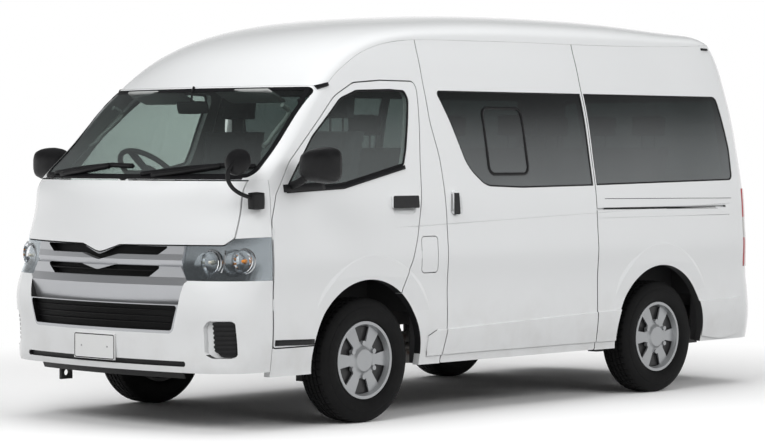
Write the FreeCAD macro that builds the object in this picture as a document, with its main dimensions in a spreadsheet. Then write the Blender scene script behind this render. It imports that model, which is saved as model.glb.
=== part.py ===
import FreeCAD, Part
import math
import os

# Minibus, millimetres. Front faces -Y, the vehicle's left is +X, the ground is z = 0 and the
# origin lies under the middle of the wheelbase, which is also the middle of the length.

os.makedirs("parts", exist_ok=True)
doc = FreeCAD.newDocument("Minibus")
V = FreeCAD.Vector

sheet = doc.addObject("Spreadsheet::Sheet", "Size")
CELLS = [
    ("wheelbase", 2570), ("front_overhang", 1135), ("rear_overhang", 1135), ("body_width", 1880),
    ("roof_height", 2285), ("sill_height", 290), ("wall", 45), ("panel_gap", 7), ("seat_gap", 0.3),
    ("glass_depth", 5), ("glass_thick", 5), ("track", 1655), ("axle_height", 340),
    ("tyre_width", 195), ("rim_radius", 203), ("rim_width", 172), ("bead_width", 12),
    ("spindle_radius", 26), ("running_gap", 0.3), ("hub_radius", 62), ("kingpin_offset", 88),
    ("kingpin_radius", 12), ("arch_radius", 425), ("rail_spacing", 900), ("rail_width", 70),
    ("rail_depth", 110), ("rail_height", 480), ("floor_height", 600), ("floor_thick", 20),
    ("cab_floor_height", 455), ("platform_height", 880), ("wheel_house", 500),
    ("rear_house", 690), ("spring_width", 70), ("spring_length", 1290), ("axle_tube_radius", 42),
    ("belt_height", 1270), ("window_top", 1812), ("header_height", 1826), ("plate_pitch", 210),
    ("plate_hole", 6), ("tow_eye_bore", 36), ("tow_eye_thick", 16), ("spare_radius", 330),
    ("lid_thick", 6), ("lid_gap", 5), ("engine_length", 640), ("engine_width", 560),
    ("engine_depth", 480), ("seat_width", 500), ("cushion_depth", 500), ("cushion_thick", 150),
    ("back_height", 560), ("steering_radius", 195), ("steering_rim", 15), ("door_gap", 7),
    ("pressing_height", 8), ("swelling_radius", 458), ("ledge_height", 470), ("ledge_rise", 50),
    ("crease_height", 1050), ("crease_rise", 76), ("plate_width", 330), ("plate_height", 137),
    ("lamp_cover", 3), ("tow_eye_height", 265),
]
for row, (alias, value) in enumerate(CELLS, 1):
    sheet.set("A%d" % row, alias)
    sheet.set("B%d" % row, str(value))
    sheet.setAlias("B%d" % row, alias)
doc.recompute()


def size(alias):
    return float(sheet.get(alias))


wheelbase = size("wheelbase")
front_axle = -wheelbase / 2
rear_axle = wheelbase / 2
nose = front_axle - size("front_overhang")
tail = rear_axle + size("rear_overhang")
half_width = size("body_width") / 2
wall = size("wall")
gap = size("panel_gap")
door_gap = size("door_gap")
axle_z = size("axle_height")
wheel_x = size("track") / 2
sill = size("sill_height")
header = size("header_height")
belt = size("belt_height")
window_top = size("window_top")
seat = size("seat_gap")

# Each station of the body form is one level: height, how far the side leans in from the full
# width, how far the nose leans back, the plan radius of the nose, the plan radius of the front
# corner, how far the tail leans in and the plan radius of the rear corner.
TAIL_ARC = 4000
STATIONS = [
    (sill - 20, 28, 35, 3100, 300, 20, 230), (420, 10, 5, 3100, 300, 5, 230),
    (560, 2, 0, 3100, 300, 20, 230), (780, 0, 8, 2700, 295, 48, 230),
    (1000, 0, 50, 2150, 285, 58, 225), (1100, 6, 82, 2150, 265, 62, 220),
    (1200, 13, 120, 2300, 220, 68, 215), (belt, 22, 158, 2600, 165, 74, 210),
    (belt + 60, 32, 213, 2750, 125, 80, 205), (1580, 74, 480, 2750, 120, 102, 200),
    (header - 6, 130, 730, 2750, 115, 130, 190), (1923, 157, 830, 2100, 110, 150, 180),
    (2015, 184, 960, 1800, 110, 175, 165), (2105, 210, 1120, 1600, 110, 220, 150),
    (2200, 235, 1320, 1600, 120, 280, 150),
]


def station(height):
    # Straight interpolation between stations, for placing things on the form.
    for low, high in zip(STATIONS, STATIONS[1:]):
        if height <= high[0]:
            break
    k = (height - low[0]) / (high[0] - low[0])
    return tuple(a + (b - a) * k for a, b in zip(low, high))


def half_outline(level, inset):
    # Plan outline of one level from the middle of the nose round the left side to the tail.
    z, lean, back, nose_arc, corner, tail_in, tail_corner = level
    w = half_width - lean - inset
    front = nose + back + inset
    rear = tail - tail_in - inset
    big = nose_arc - inset
    small = max(corner - inset, 25)
    tail_big = TAIL_ARC - inset
    tail_small = max(tail_corner - inset, 25)
    cx = w - small
    cy = front + big - math.sqrt((big - small) ** 2 - cx ** 2)
    turn = math.asin(cx / (big - small))
    pts = []
    for i in range(7):
        a = turn * i / 7
        pts.append((big * math.sin(a), front + big - big * math.cos(a)))
    for i in range(7):
        a = turn + (math.pi / 2 - turn) * i / 7
        pts.append((cx + small * math.sin(a), cy - small * math.cos(a)))
    rx = w - tail_small
    ry = rear - tail_big + math.sqrt((tail_big - tail_small) ** 2 - rx ** 2)
    for i in range(8):
        pts.append((w, cy + (ry - cy) * i / 8))
    end = math.asin(rx / (tail_big - tail_small))
    for i in range(7):
        a = (math.pi / 2 - end) * i / 7
        pts.append((rx + tail_small * math.cos(a), ry + tail_small * math.sin(a)))
    for i in range(5):
        a = end * (1 - i / 4)
        pts.append((tail_big * math.sin(a), rear - tail_big + tail_big * math.cos(a)))
    return pts, cy, ry


def outline_points(level, inset):
    half = half_outline(level, inset)[0]
    around = [(-x, y) for x, y in reversed(half)][:-1] + half[:-1]
    return [V(x, y, level[0]) for x, y in around]


forms = {}


def form(inset):
    # The whole body as one smooth solid, lofted through the stations and inset from the skin.
    if inset in forms:
        return forms[inset]
    reference = outline_points(STATIONS[4], inset)
    knots = [0.0]
    for a, b in zip(reference, reference[1:] + reference[:1]):
        knots.append(knots[-1] + (b - a).Length)
    wires = []
    for level in STATIONS:
        curve = Part.BSplineCurve()
        curve.interpolate(Points=outline_points(level, inset), PeriodicFlag=True, Parameters=knots)
        wires.append(Part.Wire(curve.toShape()))
    forms[inset] = Part.makeLoft(wires, True, False)
    return forms[inset]


def front_of(x, z, inset=0.0):
    # y of the nose at this height and distance from the middle.
    level = station(z)
    pts = half_outline(level, inset)[0]
    for a, b in zip(pts, pts[1:]):
        if a[0] <= abs(x) <= b[0]:
            return a[1] + (b[1] - a[1]) * (abs(x) - a[0]) / (b[0] - a[0] + 1e-9)
    return pts[7][1]


def side_of(z, inset=0.0):
    return half_width - station(z)[1] - inset


def tail_of(z, inset=0.0):
    return tail - station(z)[5] - inset


def rounded(points):
    # Closed outline of straight runs and tangent arcs: each point is (a, b, radius).
    edges = []
    ends = []
    n = len(points)
    for i, (a, b, r) in enumerate(points):
        p = V(a, b, 0)
        before = V(*points[i - 1][:2], 0) - p
        after = V(*points[(i + 1) % n][:2], 0) - p
        if r <= 0:
            ends.append((p, None, p))
            continue
        angle = before.getAngle(after)
        reach = r / math.tan(angle / 2)
        before.normalize()
        after.normalize()
        start = p + before * reach
        stop = p + after * reach
        middle = before + after
        middle.normalize()
        centre = p + middle * (r / math.sin(angle / 2))
        ends.append((start, centre - middle * r, stop))
    for i, (start, mid, stop) in enumerate(ends):
        if mid is not None:
            edges.append(Part.Arc(start, mid, stop).toShape())
        following = ends[(i + 1) % n][0]
        if (following - stop).Length > 1e-6:
            edges.append(Part.LineSegment(stop, following).toShape())
    return Part.Face(Part.Wire(edges))


def across(points, low, high):
    # Prism along X from an outline in (y, z).
    face = rounded(points)
    face.Placement = FreeCAD.Placement(V(low, 0, 0), FreeCAD.Rotation(V(0, 1, 0), V(0, 0, 1), V(1, 0, 0)))
    return face.extrude(V(high - low, 0, 0))


def along(points, low, high):
    # Prism along Y from an outline in (x, z).
    face = rounded(points)
    face.Placement = FreeCAD.Placement(V(0, low, 0), FreeCAD.Rotation(V(1, 0, 0), V(0, 0, 1), V(0, -1, 0)))
    return face.extrude(V(0, high - low, 0))


def upright(points, low, high):
    # Prism along Z from an outline in (x, y).
    face = rounded(points)
    face.translate(V(0, 0, low))
    return face.extrude(V(0, 0, high - low))


def block(x0, x1, y0, y1, z0, z1):
    return Part.makeBox(x1 - x0, y1 - y0, z1 - z0, V(x0, y0, z0))


def rod(radius, start, stop):
    return Part.makeCylinder(radius, (stop - start).Length, start, stop - start)


def piped(points, radius, bend):
    # Round bar along straight runs joined by tangent arcs of one bend radius.
    edges = []
    here = points[0]
    for before, corner, after in zip(points, points[1:], points[2:]):
        back = before - corner
        ahead = after - corner
        angle = back.getAngle(ahead)
        reach = bend / math.tan(angle / 2)
        back.normalize()
        ahead.normalize()
        middle = back + ahead
        middle.normalize()
        start = corner + back * reach
        stop = corner + ahead * reach
        top = corner + middle * (bend / math.sin(angle / 2) - bend)
        edges.append(Part.LineSegment(here, start).toShape())
        edges.append(Part.Arc(start, top, stop).toShape())
        here = stop
    edges.append(Part.LineSegment(here, points[-1]).toShape())
    ring = Part.Wire(Part.makeCircle(radius, points[0], points[1] - points[0]))
    return Part.Wire(edges).makePipeShell([ring], True, False)


def mirrored(shape):
    return shape.mirror(V(0, 0, 0), V(1, 0, 0))


def fused(shapes):
    return shapes[0].fuse(shapes[1:]).removeSplitter() if len(shapes) > 1 else shapes[0]


def grown(points, margin):
    # The same outline moved outwards by a margin (inwards when negative).
    face = rounded(points)
    return face.makeOffset2D(margin) if margin else face


def across_grown(points, margin, low, high):
    face = grown(points, margin)
    face.Placement = FreeCAD.Placement(V(low, 0, 0), FreeCAD.Rotation(V(0, 1, 0), V(0, 0, 1), V(1, 0, 0)))
    return face.extrude(V(high - low, 0, 0))


def along_grown(points, margin, low, high):
    face = grown(points, margin)
    face.Placement = FreeCAD.Placement(V(0, low, 0), FreeCAD.Rotation(V(1, 0, 0), V(0, 0, 1), V(0, -1, 0)))
    return face.extrude(V(0, high - low, 0))


nodes = []


def node(label, shape, placement=FreeCAD.Placement()):
    item = doc.addObject("Part::Feature", label)
    item.Label = label
    solids = shape.Solids
    item.Shape = Part.makeCompound(solids) if len(solids) > 1 else solids[0]
    item.Placement = placement
    nodes.append(item)
    return item


def layer(zone, over, under):
    # The part of a zone between two depths under the skin (negative stands proud of it).
    return zone.common(form(over)).cut(form(under))


outer = form(0)
inner = form(wall)
shell = outer.cut(inner)
cabin = form(wall + size("seat_gap"))

# Gutter: where the roof meets the side, from the header corner to the tail, as (y, z).
level = station(header)
gutter_front = half_outline(level, 0)[1]
level = station(header + 311)
gutter_rear = half_outline(level, 0)[2]
GUTTER = [
    (gutter_front, header), (front_axle - 115, header + 59), (front_axle - 15, header + 119),
    (front_axle + 125, header + 186), (front_axle + 295, header + 236),
    (front_axle + 535, header + 267), (front_axle + 935, header + 276), (100, header + 281),
    (rear_axle - 585, header + 281), (rear_axle + 15, header + 287),
    (rear_axle + 465, header + 299), (gutter_rear - 40, header + 308), (gutter_rear, header + 311),
]
CROWN = [
    (nose + 736, header), (nose + 800, header + 69), (nose + 872, header + 139),
    (nose + 972, header + 209), (nose + 1120, header + 279), (nose + 1400, header + 359),
    (nose + 1870, header + 419), (0, header + 449), (tail - 1720, size("roof_height")),
    (tail - 1020, header + 444), (tail - 490, header + 409), (tail - 290, header + 359),
    (tail - 236, header + 311),
]
FORM_SHARE = [1, 0.85, 0.65, 0.45, 0.25, 0.1, 0, 0, 0, 0, 0.3, 0.7, 1]


def plan_share(xi, front, z):
    # How far towards the middle line the plan outline has run at this share of the width.
    pts, cy, ry = half_outline(station(z), 0)
    if front:
        half = pts[:15]
    else:
        half = list(reversed(pts[22:]))
    w = half[-1][0]
    for a, b in zip(half, half[1:]):
        if a[0] <= xi * w <= b[0] + 1e-6:
            y = a[1] + (b[1] - a[1]) * (xi * w - a[0]) / (b[0] - a[0] + 1e-9)
            return (half[-1][1] - y) / (half[-1][1] - half[0][1])
    return 0.0


def roof_grid(depth):
    # Rows of points from the right gutter over the crown to the left gutter.
    rows = []
    steps = [-1, -0.992, -0.965, -0.92, -0.85, -0.75, -0.6, -0.42, -0.22, 0]
    steps = steps + [-s for s in reversed(steps[:-1])]
    last = len(GUTTER) - 1
    for j, ((gy, gz), (cy, cz), share) in enumerate(zip(GUTTER, CROWN, FORM_SHARE)):
        row = []
        for xi in steps:
            arch = (1 - abs(xi) ** 2.5) ** 0.4
            plan = plan_share(abs(xi), j < last / 2, gz)
            rise = share * plan + (1 - share) * arch
            row.append(V(side_of(gz) * xi, gy + (cy - gy) * rise, gz + (cz - gz) * rise))
        rows.append(row)
    if not depth:
        return rows
    inside = []
    for j, row in enumerate(rows):
        line = []
        for i, p in enumerate(row):
            du = row[min(i + 1, len(row) - 1)] - row[max(i - 1, 0)]
            dv = rows[min(j + 1, last)][i] - rows[max(j - 1, 0)][i]
            normal = du.cross(dv)
            if j in (0, last):
                normal.z = 0
            if i in (0, len(row) - 1):
                normal = V(math.copysign(1, p.x), 0, 0)
            normal.normalize()
            line.append(p - normal * depth)
        inside.append(line)
    return inside


def patch(rows):
    surface = Part.BSplineSurface()
    surface.interpolate(rows)
    return surface


def skin_solid(over, under):
    # Solid between two point grids of the same size.
    top = patch(over)
    bottom = patch(under)
    faces = [top.toShape(), bottom.toShape()]
    a = top.bounds()
    b = bottom.bounds()
    for k in (0, 1):
        faces.append(Part.makeRuledSurface(top.uIso(a[k]).toShape(), bottom.uIso(b[k]).toShape()))
    for k in (2, 3):
        faces.append(Part.makeRuledSurface(top.vIso(a[k]).toShape(), bottom.vIso(b[k]).toShape()))
    closed = Part.Shell(faces)
    closed.sewShape()
    return Part.Solid(closed)


def spun_nose(points, radius, half_angle):
    # Ring piece that follows the curve of the nose, from a profile of (depth behind the nose, z).
    edges = []
    profile = [V(0, nose + depth, z) for depth, z in points]
    for a, b in zip(profile, profile[1:] + profile[:1]):
        edges.append(Part.LineSegment(a, b).toShape())
    face = Part.Face(Part.Wire(edges))
    centre = V(0, nose + radius, 0)
    face.rotate(centre, V(0, 0, 1), -half_angle)
    return face.revolve(centre, V(0, 0, 1), 2 * half_angle)


def wedge(stations):
    # Straight-edged piece along the side through a few (x, z) outlines, one for each y.
    wires = []
    for y, outline in stations:
        pts = [V(x, y, z) for x, z in outline]
        wires.append(Part.makePolygon(pts + pts[:1]))
    return Part.makeLoft(wires, True, True)


def gutter_prism(drop):
    # Everything under the gutter line, as a prism along X.
    pts = [V(0, y + drop, z - drop) for y, z in GUTTER]
    curve = Part.BSplineCurve()
    curve.interpolate(pts)
    low = 0
    edges = [curve.toShape()]
    a = pts[0]
    b = pts[-1]
    corner = [b, V(0, tail + 50, b.z), V(0, tail + 50, low), V(0, nose - 50, low), V(0, nose - 50, a.z), a]
    for p, q in zip(corner, corner[1:]):
        edges.append(Part.LineSegment(p, q).toShape())
    face = Part.Face(Part.Wire(edges))
    face.translate(V(-half_width - 50, 0, 0))
    return face.extrude(V(2 * half_width + 100, 0, 0))


roof = skin_solid(roof_grid(0), roof_grid(wall))
below_roof = gutter_prism(1.0)
walls = shell.common(below_roof)

# Pressings in the side walls, made on the whole wall before it is divided into panels: the
# swellings over the wheels, the ledge above the sills and the shoulder crease under the windows.
proud = size("pressing_height")
edge_x = half_width
swelling_r = size("swelling_radius")
swell_fade = along([
    (edge_x + proud + 2, 800, 0), (edge_x - 4, 560, 0), (edge_x - 20, 545, 0), (edge_x - 20, 0, 0),
    (edge_x + 60, 0, 0), (edge_x + 60, 800, 0),
], nose, tail)
skin_out = form(-proud)
skin_in = form(proud + 3)
pads = []
for y in (front_axle + 40, rear_axle + 8):
    pad = Part.makeCone(
        swelling_r + 26, swelling_r - 26, 2 * proud, V(edge_x - proud, y, axle_z + 134), V(1, 0, 0))
    pads.append(pad.cut(swell_fade))
ledge_slope = (size("ledge_rise")) / (rear_axle - front_axle - 800)


def ledge_top(y):
    return size("ledge_height") + (y - front_axle - 400) * ledge_slope


def ledge_outline(y):
    top = ledge_top(y)
    return [(edge_x - 14, top + 16), (edge_x + 30, top - 22), (edge_x + 30, 200), (edge_x - 14, 200)]


ledge = wedge([(y, ledge_outline(y)) for y in (front_axle + 470, tail)])
ledge_start = rounded([
    (front_axle + 480, 200, 0), (front_axle + 480, ledge_top(front_axle + 480) - 24, 0),
    (front_axle + 640, ledge_top(front_axle + 640) + 40, 260), (tail - 330, 900, 0), (tail - 330, 200, 0),
])
ledge_start.Placement = FreeCAD.Placement(V(edge_x - 20, 0, 0), FreeCAD.Rotation(V(0, 1, 0), V(0, 0, 1), V(1, 0, 0)))
ledge = ledge.common(ledge_start.extrude(V(60, 0, 0)))
pads = pads[0].fuse([pads[1], ledge]).common(skin_out).cut(skin_in)
crease_slope = size("crease_rise") / wheelbase


def crease_top(y):
    return size("crease_height") + (y - front_axle) * crease_slope


def crease_outline(y, deep):
    top = crease_top(y)
    return [(edge_x - deep, top - 2), (edge_x + 12, top + 4), (edge_x + 12, top - 66 + 2 * deep)]


crease = wedge([
    (front_axle - 190, crease_outline(front_axle - 190, -2)), (front_axle + 380, crease_outline(front_axle + 380, 7)),
    (rear_axle + 400, crease_outline(rear_axle + 400, 8)), (tail - 140, crease_outline(tail - 140, 6)),
])
walls = walls.fuse([pads, mirrored(pads)]).cut([crease, mirrored(crease)])
under_edge = block(-half_width - 60, half_width + 60, nose - 60, tail + 60, 0, sill)
walls = walls.cut(under_edge)

# Outlines on the sides, as (y, z, corner radius), tied to the axle that each lies nearest.
fa = front_axle
ra = rear_axle
DOOR = [
    (fa - 710, sill + 155, 12), (fa - 710, 1113, 60), (fa - 675, 1243, 60), (fa - 549, 1415, 80),
    (fa - 417, 1531, 300), (fa - 150, 1765, 300), (fa + 20, 1842, 120), (fa + 236, 1858, 60), (fa + 510, 1857, 35),
    (fa + 514, 1800, 60), (fa + 459, 1423, 400), (fa + 433, 1202, 400), (fa + 390, 1000, 300),
    (fa + 345, 873, 200), (fa + 262, 715, 8), (fa + 200, 500, 0), (fa - 300, 400, 0), (fa - 400, sill + 155, 0),
]
DOOR_GLASS = [
    (fa - 609, belt, 14), (fa - 362, 1556, 120), (fa - 110, 1760, 120), (fa + 30, 1806, 90),
    (fa + 300, 1815, 60), (fa + 420, 1809, 30), (fa + 441, 1760, 60), (fa + 364, 1478, 200), (fa + 330, 1393, 30),
    (fa - 165, belt + 18, 300),
]
SLIDE = [
    (fa + 599, 292, 12), (fa + 640, 480, 250), (fa + 640, 1100, 500), (fa + 630, 1430, 500), (fa + 582, 1640, 400),
    (fa + 592, 2250, 14), (ra - 612, 2250, 14), (ra - 612, 292, 12),
]
SLIDE_GLASS = [
    (fa + 668, window_top, 22), (fa + 745, 1640, 300), (fa + 850, 1380, 260), (fa + 985, belt + 2, 160),
    (fa + 1300, belt - 10, 600), (ra - 625, belt - 4, 4), (ra - 625, window_top, 4),
]
QUARTER_GLASS = [
    (ra - 595, window_top, 4), (ra - 595, belt - 2, 4), (ra + 757, belt + 18, 40), (ra + 768, 1480, 300),
    (ra + 712, window_top, 45),
]
RIGHT_GLASS = [
    (fa + 668, window_top, 22), (fa + 745, 1640, 300), (fa + 850, 1380, 260), (fa + 985, belt + 2, 160),
    (fa + 1300, belt - 10, 600), (ra - 625, belt - 4, 4), (ra - 625, window_top, 4),
]
LID = [
    (fa + 418, 797, 25), (fa + 418, 1003, 25), (fa + 555, 1003, 25), (fa + 555, 797, 25),
]
far = half_width + 60
left_half = block(0.0, far, nose - 60, tail + 60, 0, 2600)

# Wheel arches: round openings through both walls, centred a little above the axles.
arch = size("arch_radius")


def arch_cut(y):
    wheel = rod(arch, V(-far, y + 5, axle_z + 12), V(far, y + 5, axle_z + 12))
    leg = block(-far, far, y + 5 - arch + 42, y + 5 + arch - 42, 0, axle_z + 12)
    return wheel.fuse(leg)


front_arch = arch_cut(front_axle)
rear_arch = arch_cut(rear_axle)
arches = front_arch.fuse(rear_arch)

# Nose outlines in front view, as (x, z, corner radius).
SCREEN = [
    (-half_width + 83, belt + 63, 45), (-half_width + 137, header - 8, 45), (half_width - 137, header - 8, 45),
    (half_width - 83, belt + 63, 45), (0, belt + 58, 2500),
]
hood_edge = half_width - 105
lamp_in = 640
lamp_low = 798
lamp_top = 1000
hood_low = 985
bonnet_top = belt + 52

screen_zone = along(SCREEN, nose - 60, 0)
screen_hole = along(SCREEN, nose - 60, -1000)

# The line between the cab sides and the front panels: the door's front edge.
door_line = fa - 710 - door_gap
front_zone = block(-far, far, nose - 60, door_line, 0, bonnet_top)

# Cab sides: pillars, door surrounds and the wall up to the sliding door. Behind the front
# panels a hinge pillar carries two hinge leaves that end in the middle of the door gap.
hinge_y = door_line + door_gap / 2
hinge_x = half_width - 2.5
leaf = door_gap / 2 - 0.3


def hinge_leaf(z):
    plate = block(half_width - 90, hinge_x, door_line, hinge_y + leaf, z, z + 60)
    return plate.fuse(rod(leaf, V(hinge_x, hinge_y, z), V(hinge_x, hinge_y, z + 60)))


pillar_low = block(half_width - 150, half_width, door_line - 17, door_line, sill + 170, bonnet_top).common(cabin)
pillar_top = block(half_width - 150, half_width, door_line - 17, door_line, bonnet_top, bonnet_top + 35)
pillar_top = pillar_top.common(form(wall - 10))
hood_axis_y = nose + 205
hood_axis_z = bonnet_top - door_gap / 2
hood_leaf = fused([
    rod(leaf, V(-40, hood_axis_y, hood_axis_z), V(40, hood_axis_y, hood_axis_z)),
    block(-40, 40, hood_axis_y, hood_axis_y + 33, hood_axis_z - leaf, bonnet_top + 2),
])
hinge_set = fused([pillar_low, pillar_top, hinge_leaf(640), hinge_leaf(1010)])
side_left = walls.common(left_half).cut(front_zone).cut(arches).cut(screen_hole)
side_left = side_left.cut(across_grown(DOOR, door_gap, 0, far))
front_part = block(0, far, nose - 60, fa + 900, 0, 2600)
rear_part = block(0, far, fa + 900, tail + 60, 0, 2600)

# Tailgate, rear bumper and tail lamps divide the tail, as (x, z, radius) seen from behind.
bumper_top = 535
tail_start = tail - 405
TAILGATE = [
    (-790, bumper_top + gap, 25), (-790, 1250, 200), (-738, 1812, 300), (-655, header + 304, 40),
    (655, header + 304, 40), (738, 1812, 300), (790, 1250, 200), (790, bumper_top + gap, 25),
]
TAIL_GLASS = [
    (-690, belt + 20, 60), (-640, window_top, 70), (640, window_top, 70), (690, belt + 20, 60),
]
back_zone = tail - 420
tailgate_prism = along(TAILGATE, back_zone, tail + 60)
tail_lamp_zone = block(797, far, tail - 225, tail + 60, 741, 1236)
bumper_zone = block(-far, far, tail_start, tail + 60, 0, bumper_top)

quarter = side_left.cut(across_grown(SLIDE, gap, 0, far)).common(rear_part)
quarter = quarter.cut(along_grown(TAILGATE, gap, back_zone, tail + 60)).cut(bumper_zone)
quarter_lamp = tail_lamp_zone.common(walls)
quarter = quarter.cut(tail_lamp_zone)
quarter_hole = across(QUARTER_GLASS, half_width - 300, far)
rail_low = crease_top(rear_axle) - 6
rail_lines = []
for low, high, depth, end in ((0, 14, 18, 660), (49, 52, 3, 695), (-48, -45, 3, 695)):
    rail_lines.append(across([
        (ra - 630, rail_low + low, 0), (ra - 630, rail_low + high, 0), (ra + end, rail_low + high, 0),
        (ra + end, rail_low + low, 0),
    ], half_width - 4 - depth, far))
quarter_wall = quarter.cut([quarter_hole] + rail_lines)

cab_left = side_left.common(front_part).cut(across_grown(SLIDE, gap, 0, far))
cab_left = cab_left.fuse(hinge_set)
cab_right_source = cab_left.common(block(-far, far, nose - 60, fa + 639, 0, 2600))
cab_right = mirrored(cab_right_source)
lid_hole = across(LID, half_width - wall / 2, far)
cab_left = cab_left.cut(lid_hole)
lid_axis_y = fa + 418 + size("lid_gap") / 2
lid_leaf = size("lid_gap") / 2 - 0.3
lid_axis_x = half_width + 5
lid_pin = rod(lid_leaf, V(lid_axis_x, lid_axis_y, 880), V(lid_axis_x, lid_axis_y, 920))
lid_mount = block(half_width - wall / 2 - 2, lid_axis_x, fa + 417, lid_axis_y + lid_leaf, 880, 920)
cab_left = fused([cab_left, lid_pin, lid_mount])
lid = layer(across_grown(LID, -size("lid_gap"), half_width - wall, far), 0, size("lid_thick"))

frame_x = half_width - 200
frame_zone = block(-1, frame_x, nose - 60, 0, bonnet_top - 1, 2600)
screen_frame = cab_right_source.common(frame_zone)
screen_frame = fused([screen_frame, mirrored(screen_frame), hood_leaf])
cab_zone = block(frame_x + seat, far, nose - 60, tail, 0, 2600)
cab_zone = cab_zone.cut([
    block(frame_x, frame_x + 27, fa - 190, fa - 95, 1830, 1893),
    block(half_width - 90, far, door_line - 1, door_line + 9, sill + 151, sill + 169),
])
cab_left = cab_left.common(cab_zone)
cab_right = cab_right.common(mirrored(cab_zone))
node("cab_side_left", cab_left)
node("cab_side_right", cab_right)
node("screen_frame", screen_frame)
node("quarter_panel_left", quarter_wall)
node("fuel_lid", lid)

# The right wall has no sliding door: one long panel with two panes.
right_wall = mirrored(side_left).common(mirrored(block(0, far, fa + 640, tail + 60, 0, 2600)))
right_wall = right_wall.cut(along_grown(TAILGATE, gap, back_zone, tail + 60)).cut(bumper_zone)
right_wall = right_wall.cut(mirrored(tail_lamp_zone))
right_pane = mirrored(across(RIGHT_GLASS, half_width - 300, far))
right_rear_pane = mirrored(across(QUARTER_GLASS, half_width - 300, far))
right_panel = right_wall.cut(right_pane).cut(right_rear_pane)
node("side_panel_right", right_panel)

glass_over = form(size("glass_depth"))
glass_under = form(size("glass_depth") + size("glass_thick"))


def pane(hole):
    return hole.common(glass_over).cut(glass_under)


quarter_pane = pane(quarter_hole)
right_panes = pane(right_pane).Solids + pane(right_rear_pane).Solids
node("side_glass", Part.makeCompound(quarter_pane.Solids + right_panes))

# Front doors.
door_solid = across(DOOR, 0, far).common(walls).cut(arches)
door_hole = across(DOOR_GLASS, half_width - 300, far)
door = door_solid.cut(door_hole)
HANDLE = [(fa + 195, 1160, 8), (fa + 195, 1228, 8), (fa + 395, 1228, 8), (fa + 395, 1160, 8)]
scoop = rod(64, V(half_width + 40, fa + 205, 1168), V(half_width + 40, fa + 385, 1168))
scoop = scoop.makeFillet(22, [e for e in scoop.Edges if e.Curve.TypeId == "Part::GeomCircle"])
door = door.cut(scoop)
handle_zone = across(HANDLE, half_width - wall, far)
handle = layer(handle_zone, -22, -6)
posts = layer(handle_zone, -8, 32)
posts = posts.cut(block(0, far, fa + 212, fa + 378, 1100, 1300))
door = fused([door, handle, posts])
node("door_left", door)
node("door_right", mirrored(door))
door_pane = pane(door_hole)
node("door_left_glass", door_pane)
node("door_right_glass", mirrored(door_pane))

# Door mirrors: a rounded housing on a short foot at the front corner of the window.
mirror_house = block(970, 1222, fa - 610, fa - 485, 1300, 1495)
mirror_house = mirror_house.makeFillet(52, mirror_house.Edges)
mirror_foot = block(890, 1000, fa - 600, fa - 520, 1278, 1350).cut(outer)
door_mirror = fused([mirror_house, mirror_foot])
node("mirror_left", door_mirror)
node("mirror_right", mirrored(door_mirror))

# Sliding door with its vent window pane and grip.
slide_solid = across(SLIDE, 0, far).common(walls)
slide_hole = across(SLIDE_GLASS, half_width - 300, far)
slide_door = slide_solid.cut(slide_hole)
GRIP = [(fa + 688, 1118, 10), (fa + 688, 1250, 10), (fa + 730, 1250, 10), (fa + 730, 1118, 10)]
grip = across(GRIP, half_width - wall, far)
grip_bar = layer(grip, -20, -6)
grip_ends = layer(grip, -8, 26)
grip_ends = grip_ends.cut(block(0, far, nose, tail, 1136, 1232))
grip_scoop = rod(66, V(half_width + 36, fa + 722, 1112), V(half_width + 36, fa + 722, 1256))
grip_scoop = grip_scoop.makeFillet(26, [e for e in grip_scoop.Edges if e.Curve.TypeId == "Part::GeomCircle"])
slide_door = fused([slide_door.cut(grip_scoop), grip_bar, grip_ends])
node("slide_door", slide_door)
node("slide_door_glass", pane(slide_hole))

# Windscreen and its wipers.
node("windshield", pane(screen_hole))


def wiper(x0, x1, z0, z1):
    steps = 6
    line = []
    for k in range(steps + 1):
        x = x0 + (x1 - x0) * k / steps
        z = z0 + (z1 - z0) * k / steps
        line.append(V(x, front_of(x, z, -18), z))
    pivot = rod(9, V(x0, front_of(x0, z0, -seat), z0), V(x0, front_of(x0, z0, -26), z0))
    return fused([pivot.cut(form(-seat)), piped(line, 6, 400)])


node("wipers", Part.makeCompound([
    wiper(-120, -640, bonnet_top + 11, belt + 160), wiper(640, 60, bonnet_top + 13, belt + 130),
]))

# Front panels ahead of the doors: fenders, hood, lamps, grille and bumper.
nose_walls = walls.common(block(-far, far, nose - 60, door_line - 3, 0, bonnet_top - seat))
HOOD = [
    (-hood_edge + 40, hood_low, 20), (-hood_edge, lamp_top + 20, 20), (-hood_edge, 1500, 0), (hood_edge, 1500, 0),
    (hood_edge, lamp_top + 20, 20), (hood_edge - 40, hood_low, 20), (150, hood_low - 5, 60), (0, 935, 140),
    (-150, hood_low - 5, 60),
]
LAMP = [
    (590, 990, 12), (690, 1006, 60), (far, 1030, 0), (far, lamp_low, 0), (630, lamp_low, 20), (585, 870, 40),
]
GRILLE = [
    (-600, 996, 0), (600, 996, 0), (600, 870, 20), (640, lamp_low, 10), (620, lamp_low - 14, 20), (600, 660, 30),
    (560, 520, 40), (-560, 520, 40), (-600, 660, 30), (-620, lamp_low - 14, 20), (-640, lamp_low, 10),
    (-600, 870, 20),
]
UPPER_SLOT = [
    (-497, 974, 6), (-150, 974, 30), (0, 922, 60), (150, 974, 30), (497, 974, 6), (425, 928, 8), (150, 928, 60),
    (0, 894, 90), (-150, 928, 60), (-425, 928, 8),
]
LOWER_SLOT = [
    (-470, 872, 10), (-140, 872, 60), (0, 842, 90), (140, 872, 60), (470, 872, 10), (385, 812, 12), (-385, 812, 12),
]
INTAKE = [
    (-595, 668, 14), (595, 668, 14), (552, 536, 20), (-552, 536, 20),
]
hood_cut = along_grown(HOOD, gap, nose - 60, door_line + 5)
hood = along(HOOD, nose - 60, door_line + 5).common(walls)
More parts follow.
